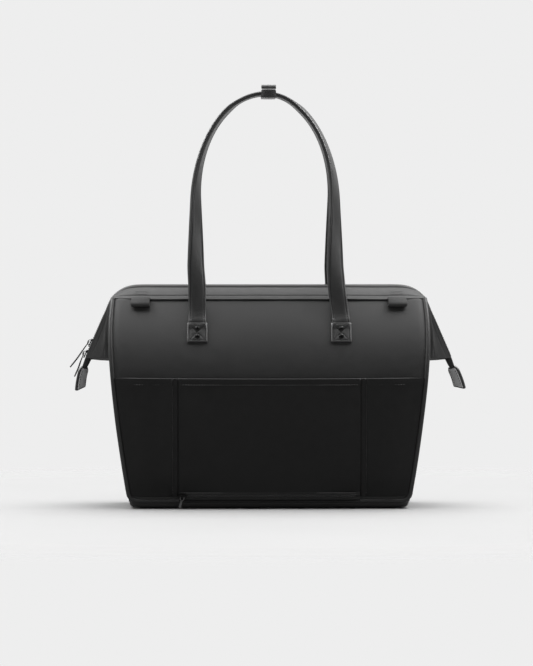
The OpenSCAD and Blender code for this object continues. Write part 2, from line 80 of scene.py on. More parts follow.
def half_d(z):
    if z < SWELL_Z:
        return BASE_D / 2 + SWELL * (1 - (1 - z / SWELL_Z) ** 2)
    lean = (max(0, z - LEAN_Z) / (SEAM_Z + 1 - LEAN_Z)) ** LEAN_POWER
    return BASE_D / 2 + SWELL - (BASE_D / 2 + SWELL - MOUTH_D) * lean


def wave(x, y, z, size, amount, seed=0.0):
    """Slow unevenness: a signed distance that changes over about size millimetres."""
    return amount * noise.noise(Vector((x / size + seed, y / size - seed, z / size)))


def lerp(a, b, t):
    return a + (b - a) * t


def bell(x, centre, width):
    """1 at centre, falling to nothing a few widths away."""
    return exp(-((x - centre) / width) ** 2)


def arch(x):
    """0 at 0 and 1, and 1 halfway."""
    return sin(pi * clamp(x))


def unit(v):
    return v / np.linalg.norm(v)


def around(n):
    """n angles round a circle."""
    return np.linspace(0, 2 * pi, n, endpoint=False)


def run_at(points, i):
    """Unit vector along the line through points, at the one numbered i."""
    return unit(np.subtract(points[min(i + 1, len(points) - 1)], points[max(i - 1, 0)]))


def new_object(name, data):
    made = bpy.data.objects.new(name, data)
    bpy.context.scene.collection.objects.link(made)
    return made


def steps(a, b, n):
    return [a + (b - a) * i / n for i in range(n + 1)]


# ---------------------------------------------------------------- materials
def put(socket, value):
    """Gives an input a fixed value, or links it to an output."""
    if isinstance(value, bpy.types.NodeSocket):
        socket.id_data.links.new(value, socket)
    else:
        socket.default_value = value


def node(nodes, kind, **values):
    """A new node; each value goes to the input of that name, or else to the node's own setting."""
    made = nodes.new(kind)
    for key, value in values.items():
        name = key.replace("_", " ")
        if name in made.inputs:
            put(made.inputs[name], value)
        else:
            setattr(made, key, value)
    return made


def ramp(nodes, source, *stops):
    """A ramp over source, with stops of (place, grey level)."""
    made = node(nodes, "ShaderNodeValToRGB", Fac=source)
    elements = made.color_ramp.elements
    while len(elements) < len(stops):
        elements.new(0.5)
    for element, (place, level) in zip(elements, stops):
        element.position = place
        element.color = (level, level, level, 1)
    return made.outputs["Color"]


def speckle(nodes, place, scale, **values):
    return node(nodes, "ShaderNodeTexNoise", Vector=place, Scale=scale, **values).outputs["Fac"]


def mixed(nodes, factor, a, b, blend="MIX"):
    made = node(nodes, "ShaderNodeMix", data_type="RGBA", blend_type=blend, Factor=factor, A=a, B=b)
    return made.outputs["Result"]


def calc(nodes, operation, a, b=0.0):
    made = node(nodes, "ShaderNodeMath", operation=operation)
    put(made.inputs[0], a)
    put(made.inputs[1], b)
    return made.outputs[0]


def new_material(name):
    """A material, its nodes, its shader's inputs and the place on the object that its textures use."""
    mat = bpy.data.materials.new(name)
    mat.use_nodes = True
    nodes = mat.node_tree.nodes
    return mat, nodes, nodes["Principled BSDF"].inputs, nodes.new("ShaderNodeTexCoord").outputs["Object"]


def worn_edges(nodes, *stops):
    return ramp(nodes, nodes.new("ShaderNodeNewGeometry").outputs["Pointiness"], *stops)


def woven(nodes, place, pitch):
    """Height of a plain weave with threads pitch mm apart, the same on faces of any direction."""
    x, y, z = (node(nodes, "ShaderNodeTexWave", wave_type="BANDS", bands_direction=axis, Vector=place,
                    Scale=314.16 / pitch / 2, Distortion=0.4, Detail_Scale=2.0).outputs["Fac"] for axis in "XYZ")
    return calc(nodes, "MULTIPLY", calc(nodes, "ADD", calc(nodes, "ADD", x, y), z), 0.4)


def fabric(name, dark, light, rough, grain, depth, patch=9.0, sheen=0.0, weave=None, wear=0.0, gloss=0.35):
    """Cloth or leather: two tones mottled over patch mm, a weave or a grain in mm, and lighter worn edges."""
    mat, nodes, shader, place = new_material(name)
    mottle = speckle(nodes, place, 1000 / patch, Detail=4.0, Roughness=0.6)
    color = ramp(nodes, mottle, (0.3, dark), (0.72, light))
    if weave:
        height = woven(nodes, place, weave)
        color = mixed(nodes, 0.75, color, ramp(nodes, height, (0.0, 0.45), (0.8, 1.0)), "MULTIPLY")
    else:
        height = node(nodes, "ShaderNodeTexVoronoi", Vector=place, Scale=1000 / grain).outputs["Distance"]
    if wear:
        dust = mixed(nodes, worn_edges(nodes, (0.5, 0.0), (0.58, 1.0)), (0, 0, 0, 1), (wear, wear, wear, 1))
        color = mixed(nodes, 1.0, color, dust, "ADD")
    put(shader["Base Color"], color)
    put(shader["Roughness"], ramp(nodes, mottle, (0.2, clamp(rough - 0.06)), (0.8, clamp(rough + 0.06))))
    bump = node(nodes, "ShaderNodeBump", Height=height, Strength=0.5, Distance=depth * MM)
    coarse = speckle(nodes, place, 1000 / (grain * 6), Detail=3.0)
    soft = node(nodes, "ShaderNodeBump", Height=coarse, Normal=bump.outputs["Normal"], Strength=0.25,
                Distance=depth * 2 * MM)
    put(shader["Normal"], soft.outputs["Normal"])
    put(shader["Specular IOR Level"], gloss)
    if sheen:
        put(shader["Sheen Weight"], sheen)
        put(shader["Sheen Roughness"], 0.5)
    return mat


def metal(name, dark, light, rough):
    """Metal with faint brushing, patchy roughness and lighter worn edges."""
    mat, nodes, shader, place = new_material(name)
    patches = speckle(nodes, place, 160.0, Detail=5.0)
    color = ramp(nodes, patches, (0.3, dark), (0.75, light))
    bare = (light * 1.8, light * 1.8, light * 1.8, 1)
    put(shader["Base Color"], mixed(nodes, worn_edges(nodes, (0.52, 0.0), (0.62, 0.8)), color, bare))
    put(shader["Roughness"], ramp(nodes, patches, (0.3, rough - 0.08), (0.75, rough + 0.1)))
    brushed = speckle(nodes, place, 1000 / 1.5, Detail=2.0)
    bump = node(nodes, "ShaderNodeBump", Height=brushed, Strength=0.15, Distance=0.05 * MM)
    put(shader["Normal"], bump.outputs["Normal"])
    put(shader["Metallic"], 1.0)
    return mat


SHELL = fabric("shell_fabric", 0.0120, 0.0155, 0.56, 0.55, 0.10, sheen=0.03, gloss=0.5)
# The pockets' fabric is the shell's fabric made darker: its darker colour is painted shade on the pocket layer
SHADED_POCKET_FABRIC = fabric("pocket_fabric_painted_shade", 0.0060, 0.0088, 0.60, 0.55, 0.10, sheen=0.01, gloss=0.28)
# The ears' fabric is the shell's fabric made darker and matte: painted shade for the ears' folded, hollow faces
SHADED_EAR_FABRIC = fabric("ear_fabric_painted_shade", 0.0070, 0.0090, 0.62, 0.55, 0.10, gloss=0.2)
TRIM = fabric("binding", 0.010, 0.014, 0.5, 0.8, 0.12, wear=0.012, gloss=0.5)
LEATHER = fabric("leather_grain", 0.012, 0.018, 0.40, 1.3, 0.3, patch=5.0, wear=0.03, gloss=0.75)
PALE = fabric("tab_inner_face", 0.86, 0.94, 0.6, 0.9, 0.15)
WEBBING = fabric("webbing_weave", 0.016, 0.026, 0.7, 0.9, 0.35, weave=0.9, sheen=0.06)
TAPE = fabric("zip_tape_weave", 0.014, 0.022, 0.72, 0.7, 0.2, weave=0.7)
THREAD = fabric("thread", 0.055, 0.080, 0.5, 0.5, 0.1, weave=0.5)
LEATHER_THREAD = fabric("leather_thread", 0.006, 0.009, 0.65, 0.5, 0.1, weave=0.5, gloss=0.25)
LINING = fabric("lining_weave", 0.16, 0.20, 0.6, 0.8, 0.15, patch=14.0, weave=0.8, sheen=0.1)
BOARD = fabric("board_fibre", 0.10, 0.15, 0.8, 1.6, 0.2)
TEETH = fabric("zip_coil", 0.012, 0.018, 0.34, 0.6, 0.05, wear=0.02)
GUNMETAL = metal("gunmetal", 0.014, 0.026, 0.36)
BRUSHED = metal("brushed_puller", 0.16, 0.24, 0.34)
STEEL = metal("steel_rod", 0.42, 0.55, 0.3)


# ---------------------------------------------------------------- mesh building
class Piece:
    """Points in millimetres and faces with their materials, gathered for one object."""

    def __init__(self):
        self.points, self.faces, self.mats = [], [], []

    def add(self, points, faces, mat):
        base = len(self.points)
        self.points += [tuple(float(c) for c in p) for p in points]
        self.faces += [tuple(base + int(i) for i in f) for f in faces]
        self.mats += mat if isinstance(mat, list) else [mat] * len(faces)

    def tube(self, rings, mat, closed=False):
        """A skin over rings of equal count, capped unless it closes on itself."""
        n, k = len(rings), len(rings[0])
        faces = []
        for i in range(n if closed else n - 1):
            a, b = i * k, (i + 1) % n * k
            faces += [(a + j, a + (j + 1) % k, b + (j + 1) % k, b + j) for j in range(k)]
        if not closed:
            faces += [tuple(range(k - 1, -1, -1)), tuple(range((n - 1) * k, n * k))]
        self.add([p for ring in rings for p in ring], faces, mat)

    def slab(self, outer, inner, mat, inner_mat=None, rim=0.0):
        """A closed sheet between two grids of points, with a rim that stands out by rim mm."""
        outer, inner = np.asarray(outer, float), np.asarray(inner, float)
        n, m = outer.shape[:2]
        count = n * m
        index = np.arange(count).reshape(n, m)
        quads = [(index[i, j], index[i, j + 1], index[i + 1, j + 1], index[i + 1, j])
                 for i in range(n - 1) for j in range(m - 1)]
        loop = ([(0, j) for j in range(m - 1)] + [(i, m - 1) for i in range(n - 1)]
                + [(n - 1, j) for j in range(m - 1, 0, -1)] + [(i, 0) for i in range(n - 1, 0, -1)])
        ring = []
        for i, j in loop:
            near = outer[min(max(i, 1), n - 2), min(max(j, 1), m - 2)]
            ring.append((outer[i, j] + inner[i, j]) / 2 + unit(outer[i, j] - near) * rim)
        faces = quads + [tuple(count + c for c in reversed(q)) for q in quads]
        total = len(loop)
        for a in range(total):
            b = (a + 1) % total
            oa, ob = index[loop[a]], index[loop[b]]
            ra, rb = 2 * count + a, 2 * count + b
            faces += [(ob, oa, ra, rb), (rb, ra, count + oa, count + ob)]
        mats = [mat] * len(quads) + [inner_mat or mat] * len(quads) + [mat] * (2 * total)
        self.add(list(outer.reshape(-1, 3)) + list(inner.reshape(-1, 3)) + ring, faces, mats)

    def shape(self, made, matrix, mat):
        """A ready shape, such as a soft box, put in place by a 4x4 matrix."""
        points, faces = made
        self.add([matrix @ Vector(p) for p in points], faces, mat)

    def stitch(self, path, outs, mat, length=2.4, gap=1.1, wide=0.75, high=0.42):
        """Thread along path, one raised stitch after another; outs is the surface's normal, or one per point."""
        path = np.asarray(path, float)
        outs = np.broadcast_to(np.asarray(outs, float), path.shape)
        marks = marks_along(path)
        count = int((marks[-1] - gap) / (length + gap))
        for i in range(count):
            start = gap + i * (length + gap)
            places = [start + length * f for f in (0, 0.22, 0.78, 1)]
            at = [np.array([np.interp(s, marks, path[:, c]) for c in range(3)]) for s in places]
            out = unit(np.array([np.interp(start, marks, outs[:, c]) for c in range(3)]))
            across = np.cross(unit(at[3] - at[0]), out)
            rings = []
            for p, w, h in zip(at, (0.35, 1, 1, 0.35), (-0.5, 1, 1, -0.5)):
                rings.append([p + across * wide / 2 * w, p + out * high * h,
                              p - across * wide / 2 * w, p - out * 0.5])
            self.tube(rings, mat)

    def bar(self, place, stations, thick, mat, corner=0.5, arc=2):
        """A flat bar down place's Z axis, through stations of (height, half width)."""
        self.tube([[place @ Vector((d, c, z)) for c, d in pill(2 * w, thick, corner, arc)] for z, w in stations],
                  mat)

    def strip(self, place, route, wide, thick, mat, corner=0.45, arc=2):
        """A strip across place's Y axis that follows a route of (X, Z)."""
        rings = []
        for i, (x, z) in enumerate(route):
            run = run_at(route, i)
            rings.append([place @ Vector((x + run[1] * d, c, z - run[0] * d))
                          for c, d in pill(wide, thick, corner, arc)])
        self.tube(rings, mat)

    def build(self, name, body=None, bend=None, crease=38, replaces=None):
        """The finished object; it stands for the CAD node of its own name, unless replaces says otherwise."""
        mesh = bpy.data.meshes.new(name)
        mesh.from_pydata([(x * MM, y * MM, z * MM) for x, y, z in self.points], [], self.faces)
        kinds = list(dict.fromkeys(self.mats))
        for mat in kinds:
            mesh.materials.append(mat)
        mesh.polygons.foreach_set("material_index", [kinds.index(m) for m in self.mats])
        bm = bmesh.new()
        bm.from_mesh(mesh)
        bmesh.ops.recalc_face_normals(bm, faces=bm.faces)
        bm.to_mesh(mesh)
        bm.free()
        mesh.shade_smooth()
        mesh.set_sharp_from_angle(angle=radians(crease))
        obj = new_object(name, mesh)
        if body:
            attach(obj, body)
        if bend:
            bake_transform(obj)
        stands_for = (name,) if replaces is None else replaces
        if stands_for:
            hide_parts(*stands_for)
        return obj


def soft_box(size, radius, segments=2):
    """Points and faces of a box with rounded edges, centred on the origin."""
    bm = bmesh.new()
    bmesh.ops.create_cube(bm, size=1.0)
    for v in bm.verts:
        v.co = Vector([v.co[i] * size[i] for i in range(3)])
    bmesh.ops.bevel(bm, geom=list(bm.edges), offset=radius, segments=segments, profile=0.5, affect="EDGES")
    points = [v.co.copy() for v in bm.verts]
    faces = [[v.index for v in f.verts] for f in bm.faces]
    bm.free()
    return points, faces


def lathe(profile, sides=24):
    """Points and faces of a profile of (radius, height) turned about Z; both ends are closed."""
    points = [(r * cos(2 * pi * j / sides), r * sin(2 * pi * j / sides), z)
              for r, z in profile for j in range(sides)]
    faces = []
    for i in range(len(profile) - 1):
        for j in range(sides):
            k = (j + 1) % sides
            faces.append((i * sides + j, i * sides + k, (i + 1) * sides + k, (i + 1) * sides + j))
    faces += [tuple(range(sides - 1, -1, -1)),
              tuple(range((len(profile) - 1) * sides, len(profile) * sides))]
    return points, faces


def at(x, y, z, turn=(0, 0, 0)):
    """A 4x4 that turns by degrees about X, then Y, then Z, and moves."""
    place = Matrix.Translation((x, y, z))
    for angle, axis in ((turn[2], "Z"), (turn[1], "Y"), (turn[0], "X")):
        place = place @ Matrix.Rotation(radians(angle), 4, axis)
    return place


def pill(wide, thick, radius, arc=3):
    """A closed rounded rectangle as (across, up) pairs."""
    points = []
    for cx, cy, start in ((1, 1, 0), (-1, 1, 90), (-1, -1, 180), (1, -1, 270)):
        for i in range(arc + 1):
            a = radians(start + 90 * i / arc)
            points.append((cx * (wide / 2 - radius) + radius * cos(a),
                           cy * (thick / 2 - radius) + radius * sin(a)))
    return points


FLIP_X, FLIP_Y = Matrix.Scale(-1, 4, (1, 0, 0)), Matrix.Scale(-1, 4, (0, 1, 0))


SIDE, HAND = {-1: "back", 1: "front"}, {-1: "left", 1: "right"}


def mouth_bend(s):
    """Bend data that every soft piece of one half is given; build only bakes the piece's transform when it has some.
    """
    return ("bag", SIDE[s] + "_mouth", (0, 0, PIVOT_Z * MM), (0, s * 0.0401, 0.2444))


def strap_bend(s):
    y = s * LEG_Y * MM
    return (SIDE[s] + "_mouth", SIDE[s] + "_strap", (0, y, (HINGE_Z - 5) * MM), (0, y, (HINGE_Z + 9) * MM))


# ---------------------------------------------------------------- shell
SEAM_IN = 5.8      # from the body's side to the big panels' edge
PIPE_R = 3.0
PIPE_FOOT_Z = 10.5
PANEL_FOOT_Z = 9
GUSSET_TOP_Z = 191


def face_y(x, z):
    """Distance of a big panel's outer face from the middle plane."""
    w = half_w(z)
    crown = 1.5 * (1 - (x / w) ** 2) * arch(z / SEAM_Z)
    edge = clamp((abs(x) - (w - 18)) / 18)
    return half_d(z) + crown - 4.4 * edge ** 3.4 + wave(x, 0, z, 80, 0.5)


def face_point(x, z, s, off=0.0):
    return np.array([x, s * (face_y(x, z) + off), z])


def face_normal(x, z, s):
    run = face_point(x + 1, z, s) - face_point(x - 1, z, s)
    rise = face_point(x, z + 1, s) - face_point(x, z - 1, s)
    n = unit(np.cross(run, rise))
    return n if n[1] * s > 0 else -n


def panel(s):
    """A big face of the shell, from the foot to the band."""
    piece = Piece()
    outer, inner = [], []
    for z in steps(PANEL_FOOT_Z, SEAM_Z + 0.4, 62):
        row = [(half_w(z) - SEAM_IN + 0.6) * u for u in steps(-1, 1, 76)]
        outer.append([face_point(x, z, s) for x in row])
        inner.append([face_point(x, z, s, -2.4) for x in row])
    piece.slab(outer, inner, SHELL, LINING, rim=0.6)
    name = SIDE[s]
    piece.build(name + "_panel", bend=mouth_bend(s),
                replaces=(f"lower_{name}_panel", f"upper_{name}_panel"))


def piping_route():
    """Centre line of the piping on one face: down a side, along the foot and up the other side."""
    half = [(half_w(z) - PIPE_R + 0.3, half_d(z) - 1.6, z) for z in steps(SEAM_Z - 1, 24, 34)]
    r = 12.0
    cx, cz = half_w(22) - PIPE_R + 0.3 - r, PIPE_FOOT_Z + r
    half += [(cx + r * cos(radians(a)), half_d(cz) - 1.6, cz - r * sin(radians(a)))
             for a in steps(0, 90, 8)]
    half += [(x, half_d(PIPE_FOOT_Z) - 1.2, PIPE_FOOT_Z) for x in steps(cx - 12, 0, 18)]
    return half + [(-x, y, z) for x, y, z in reversed(half[:-1])]


def piping(s):
    """The bound roll round a big panel's edge, a little uneven."""
    piece = Piece()
    path = [np.array([x, s * y, z]) for x, y, z in piping_route()]
    rings = []
    for i, p in enumerate(path):
        along = run_at(path, i)
        side = unit(np.cross(along, [0, s, 0]))
        face = np.cross(along, side)
        r = PIPE_R + wave(*p, 45, 0.18)
        rings.append([p + r * (side * cos(a) + face * sin(a))
                      for a in around(12)])
    piece.tube(rings, TRIM)
    piece.build(SIDE[s] + "_piping", bend=mouth_bend(s))


def gusset_x(y, z):
    """Side wall's outer face at a distance y from the middle plane."""
    y = abs(y)
    fold = 7 * bell(y, 0, 26) * smooth(40, 150, z) * (1 - smooth(176, 187, z))
    puff = 1.6 * arch(y / 74) * arch(z / 190)
    return half_w(z) - 1.4 - fold + puff + wave(0, y, z, 55, 0.7, 3)


def gusset(k, s):
    """Half of a side wall; the back half stands for the CAD side and its fold."""
    piece = Piece()
    outer, inner = [], []
    for z in steps(PANEL_FOOT_Z, GUSSET_TOP_Z, 44):
        depth = half_d(z) - 2.6
        row = [s * depth * u for u in steps(0, 1, 22)]
        tuck = [3.2 * clamp((abs(y) - (depth - 7)) / 7) ** 2 for y in row]
        outer.append([(k * (gusset_x(y, z) - t), y, z) for y, t in zip(row, tuck)])
        inner.append([(k * (gusset_x(y, z) - t - 2), y, z) for y, t in zip(row, tuck)])
    piece.slab(outer, inner, SHELL, LINING, rim=0.3)
    piece.build(f"{HAND[k]}_gusset_{SIDE[s]}", bend=mouth_bend(s),
                replaces=(HAND[k] + "_gusset", HAND[k] + "_gusset_fold") if s < 0 else ())


# The zip's line in X and Z from the middle of the top to the ear tip, on the +X side
ZIP_LINE = [(0, 288.0), (164, 288.0), (175, 287.6), (184, 285.8), (192, 282.2), (199.2, 277.0), (204.6, 271.0),
            (208.4, 263.6), (211.2, 255.8), (216.8, 243.9), (222.2, 231.5), (228.0, 218.2), (233.5, 205.6),
            (239.0, 193.0)]


def marks_along(points):
    """Distance of each point from the first, along the line through them."""
    return np.concatenate([[0], np.cumsum(np.linalg.norm(np.diff(points, axis=0), axis=1))])


def zip_half_line(step=2.6):
    """The zip's line resampled at step mm, with its outward normals."""
    line = np.array(ZIP_LINE, float)
    marks = marks_along(line)
    count = int(marks[-1] / step)
    points = np.stack([np.interp(np.linspace(0, marks[-1], count + 1), marks, line[:, c]) for c in (0, 1)], 1)
    for _ in range(3):
        points[1:-1] = (points[:-2] + 2 * points[1:-1] + points[2:]) / 4
    run = np.gradient(points, axis=0)
    run /= np.linalg.norm(run, axis=1)[:, None]
    return points, np.stack([-run[:, 1], run[:, 0]], 1)


ZIP_POINTS, ZIP_OUTS = zip_half_line()
ZIP_MARKS = marks_along(ZIP_POINTS)


def zip_at(mark):
    """The zip line's X and Z at a distance from the middle of the top."""
    return [float(np.interp(mark, ZIP_MARKS, ZIP_POINTS[:, c])) for c in (0, 1)]


def zip_z(x):
    """Height of the zip line over x, near the top."""
    return float(np.interp(abs(x), ZIP_POINTS[:, 0], ZIP_POINTS[:, 1]))


SHOULDER_MARK = float(np.interp(SEAM_Z - 1.5, ZIP_POINTS[::-1, 1], ZIP_MARKS[::-1]))
UNDER = 0.35           # the share of an ear that is its underside, folded in to the middle plane
EAR_CORNER_Z = 195.0   # where an ear's underside meets its face


def ear_edges(t):
    """The ear's edge on the body and its edge on the zip, on the +X side of the +Y face, at t from fold to band."""
    corner = np.array([half_w(EAR_CORNER_Z) - 1.2, half_d(EAR_CORNER_Z) - 3.5, EAR_CORNER_Z])
    if t < UNDER:
        f = t / UNDER
        body = lerp(np.array([half_w(190) - 1.4, 0, 190.5]), corner, f)
        body[2] -= 2.5 * sin(pi * f)
        tip = lerp(np.array([237.0, 0.0, 191.0]), np.array([238.4, TAPE_HALF - 0.4, 194.0]), f)
        return body, tip
    f = (t - UNDER) / (1 - UNDER)
    z = lerp(EAR_CORNER_Z, SEAM_Z - 1, f)
    body = np.array([half_w(z) - 1.2, half_d(z) - 3.5 + 2.5 * f, z])
    x, zz = zip_at(lerp(ZIP_MARKS[-1], SHOULDER_MARK, f))
    return body, np.array([x, TAPE_HALF - 0.4, zz])


def ear_point(t, u, drop=0.0):
    """A point of the ear at u from the body to the zip, with its pleats and its hollow, drop mm under the face."""
    body, edge = ear_edges(t)
    p = lerp(body, edge, u)
    b2, e2 = ear_edges(min(t + 0.02, 1))
    b1, e1 = ear_edges(max(t - 0.02, 0))
    n = unit(np.cross(edge - body, lerp(b2 - b1, e2 - e1, u)))
    if n[0] < 0 and t > UNDER or t <= UNDER and n[2] > 0:
        n = -n
    rise = smooth(UNDER, UNDER + 0.2, t)
    top = 1 - smooth(0.9, 1.0, t)
    pleats = (3.0 * bell(u, 0.16, 0.06) - 3.6 * bell(u, 0.08, 0.022) - 5.0 * bell(u, 0.25, 0.025)
              - 1.3 * bell(u, 0.8, 0.02))
    hollow = -3.0 * arch((u - 0.3) / 0.7) * arch((t - UNDER) / (1 - UNDER))
    crumple = wave(p[0], p[1], p[2], 16, 0.7, 9) * sin(pi * u)
    return p + n * (rise * (0.35 + 0.65 * top) * pleats + hollow + crumple - drop)


def ear(k, s):
    """One leaf of an ear, with closer points across its pleats."""
    piece = Piece()
    turns = [UNDER * i / 12 for i in range(12)] + steps(UNDER, 1, 34)
    flip = np.array([k, s, 1])
    places = sorted(steps(0, 1, 34) + [0.05, 0.07, 0.08, 0.095, 0.22, 0.245, 0.25, 0.27, 0.785, 0.8, 0.815])
    grids = [[[ear_point(t, u, drop) * flip for u in places] for t in turns] for drop in (0.0, 1.5)]
    # The ear's faces take the darker copy of the shell fabric: painted shade
    piece.slab(*grids, SHADED_EAR_FABRIC, LINING, rim=0.3)
    piece.build(f"{HAND[k]}_{SIDE[s]}_ear", bend=mouth_bend(s))


def base():
    """The bottom: a padded tray whose edge turns up behind the piping, a little uneven from use."""
    piece = Piece()

    def ring(z, inset, scale=1.0):
        a, b, r = half_w(z) - inset, half_d(z) - inset, 13.0
        points = []
        for cx, cy, start in ((1, 1, 0), (-1, 1, 90), (-1, -1, 180), (1, -1, 270)):
            for angle in steps(start, start + 90, 6):
                c = radians(angle)
                points.append([cx * (a - r) + r * cos(c), cy * (b - r) + r * sin(c)])
            nx, ny = ((-1, 1), (-1, -1), (1, -1), (1, 1))[(start // 90)]
            end = (nx * (a - r), ny * b) if start in (0, 180) else (nx * a, ny * (b - r))
            first = points[-1]
            points += [[lerp(first[0], end[0], f), lerp(first[1], end[1], f)] for f in steps(0, 1, 16)[1:-1]]
        return [(x * scale, y * scale, z + wave(x, y, 0, 38, 0.7, 5) * clamp(1 - z / 9)) for x, y in points]

    rows = [ring(12.0, 5.5), ring(12.4, 3.8), ring(11, 2.6), ring(7.5, 1.8), ring(4.2, 2.4), ring(2.2, 4.2),
            ring(1.3, 7.5), ring(1.0, 12.0)]
    rows += [[(x, y, lerp(z, 1.3, 0.5)) for x, y, z in ring(1.0, 12.0, f)] for f in (0.8, 0.55, 0.3, 0.1)]
    inner = [[(x * 0.985, y * 0.97, z + 2.4 if i > 2 else z - 0.2) for x, y, z in row] for i, row in enumerate(rows)]
    piece.tube(rows + inner[::-1], TRIM, closed=True)
    # Flat faces across the last ring outside and the last one inside
    piece.add(rows[-1], [tuple(range(len(rows[-1])))], TRIM)
    piece.add(inner[-1], [tuple(range(len(inner[-1]) - 1, -1, -1))], TRIM)
    piece.build("base", body="bag", replaces=("base_panel",))


# ---------------------------------------------------------------- pockets
SEAMS = (117.6, 124.6)   # the two rows of stitches at a side of the sleeve
HEM_Z = 161.0
REACH = 190              # past the side of a panel, at any height


def pocket_off(x, z, foot, sleeve):
    """How far the pocket layer stands off the shell."""
    x = abs(x)
    w = half_w(z) - SEAM_IN
    off = 5.8 * smooth(0, 34, w - x)
    foot_in = smooth(foot - 2, foot + 26, z)
    if sleeve:
        off *= 1 - 0.62 * bell(x, 121, 13)
        if x < SEAMS[0]:
            foot_in = max(foot_in, smooth(0, 16, SEAMS[0] - x))
    off = 2.0 + off * foot_in
    for seam in SEAMS if sleeve else ():
        off -= 0.9 * bell(x, seam, 0.9)
    # The hem round the top edge is one layer thicker, and its stitches pull a faint line
    off += 0.5 * smooth(HEM_Z - 0.4, HEM_Z + 1, z) - 0.5 * bell(z, HEM_Z, 0.9)
    return off + wave(x, z, 3, 48, 0.7, 7) * foot_in


def pocket_top(x, sleeve):
    return POCKET_Z - 1.3 * (1 - (x / 200) ** 2) * (1 if sleeve else 0.7)


def uneven(a, b, n, dense):
    """Places from a to b in about n steps, with closer steps round the places in dense."""
    places = set(round(v, 3) for v in steps(a, b, n))
    for d in dense:
        places |= {round(d + e, 3) for e in (-2.4, -1.6, -1.0, -0.5, 0, 0.5, 1.0, 1.6, 2.4) if a < d + e < b}
    kept = []
    for v in sorted(places):
        if not kept or v - kept[-1] > 0.3:
            kept.append(v)
    return kept


def pocket(name, s, x0, x1, foot, sleeve):
    """One part of the pocket layer; x0 or x1 is None where it follows the body's side."""
    piece = Piece()
    first, last = (-REACH if x0 is None else x0), (REACH if x1 is None else x1)
    dense = [d for d in (-SEAMS[1], -SEAMS[0], SEAMS[0], SEAMS[1]) if sleeve]
    shares = [(c - first) / (last - first) for c in uneven(first, last, 4 if sleeve else 3, dense)]

    def spot(x, z):
        return face_point(x, z, s, pocket_off(x, z, foot, sleeve))

    outer, inner = [], []
    for f in steps(0, 1, 46):
        w = half_w(lerp(foot, POCKET_Z, f)) - SEAM_IN - 0.4
        a, b = (-w if x0 is None else x0), (w if x1 is None else x1)
        row = [(x, lerp(foot, pocket_top(x, sleeve), f)) for x in (lerp(a, b, share) for share in shares)]
        outer.append([spot(x, z) for x, z in row])
        inner.append([face_point(x, z, s, pocket_off(x, z, foot, sleeve) - 1.9) for x, z in row])
    # The pocket layer takes the darker copy of the shell fabric: painted shade
    piece.slab(outer, inner, SHADED_POCKET_FABRIC, SHADED_POCKET_FABRIC, rim=0.9)
    left, right = (first if x0 is None else x0 + 1), (last if x1 is None else x1 - 1)
    lines = [[(x, HEM_Z - 0.8 * (1 - (x / 200) ** 2)) for x in steps(left, right, 60)
              if abs(x) < half_w(HEM_Z) - SEAM_IN - 2]]
    lines += [[(x, z) for z in steps(foot + 2, HEM_Z - 1, 50)] for x in dense if left < x < right]
    for line in lines:
        piece.stitch([spot(x, z) for x, z in line], [face_normal(x, z, s) for x, z in line], THREAD)
    piece.build(name, body="bag")


def sleeve_zip():
    """Zip along the foot of the luggage sleeve: two tapes, teeth, and the strip that returns to the shell."""
    piece = Piece()
    half, pitch, tooth = SEAMS[0] - 1, 1.7, soft_box((1.1, 1.7, 1.9), 0.3, 1)
    across = steps(-half, half, 60)

    def face(x):
        """Y of the zip's face, which turns in to the shell at both ends."""
        return 5.4 * (1 - smooth(0, 14, half - abs(x))) - half_d(SLEEVE_ZIP_Z) - 8.3

    for z0, z1 in ((17.7, 22.0), (12.8, 16.3)):
        piece.slab(*[[[(x, face(x) + y, z) for x in across] for z in steps(z0, z1, 3)] for y in (-0.2, 0.9)], TAPE,
                   rim=0.2)
    outer = [[(x, lerp(face(x) - 0.3, -half_d(11) - 0.5, f), 12.9 - 3.2 * f + 0.9 * arch(f)) for x in across]
             for f in steps(0, 1, 5)]
    inner = [[(x, y + 0.8, z - 1.0) for x, y, z in row] for row in outer]
    piece.slab(outer, inner, SHADED_POCKET_FABRIC, rim=0.2)
    for i in range(int(2 * (half - 4) / pitch)):
        x = -half + 4 + i * pitch
        piece.shape(tooth, at(x, face(x) - 0.9, SLEEVE_ZIP_Z + (0.55 if i % 2 else -0.55)), TEETH)
    piece.stitch([(x, face(x) - 0.3, 21.2) for x in steps(-half + 2, half - 2, 60)], (0, -1, 0), THREAD)
    piece.build("sleeve_zip", body="bag")


# ---------------------------------------------------------------- mouth
def band_edges(x):
    """Lower and upper edge of the top band over x, as (Y, Z) on the +Y face."""
    end = smooth(150, 204, abs(x))
    return (MOUTH_D + 4.3 - 3.9 * end, SEAM_Z - 1.4 + 1.2 * end), (TAPE_HALF + 0.6, zip_z(x) + 0.5)


def band_point(x, f, s, off=0.0):
    """A point of the top band over x, at f from its lower to its upper edge."""
    (y0, z0), (y1, z1) = band_edges(x)
    y, z = lerp(y0, y1, f), lerp(z0, z1, f)
    slope = unit(np.array([z1 - z0 + 0.01, y0 - y1]))
    swell = 1.8 * arch(f) + off + wave(x, z, y, 40, 0.35, 2) + 0.7 * bell(f, 0.93, 0.05)
    swell -= 0.6 * bell(f, 0.2, 0.026) + 1.3 * bell(f, 0.83, 0.026)
    return np.array([x, s * (y + slope[0] * swell), z + slope[1] * swell])


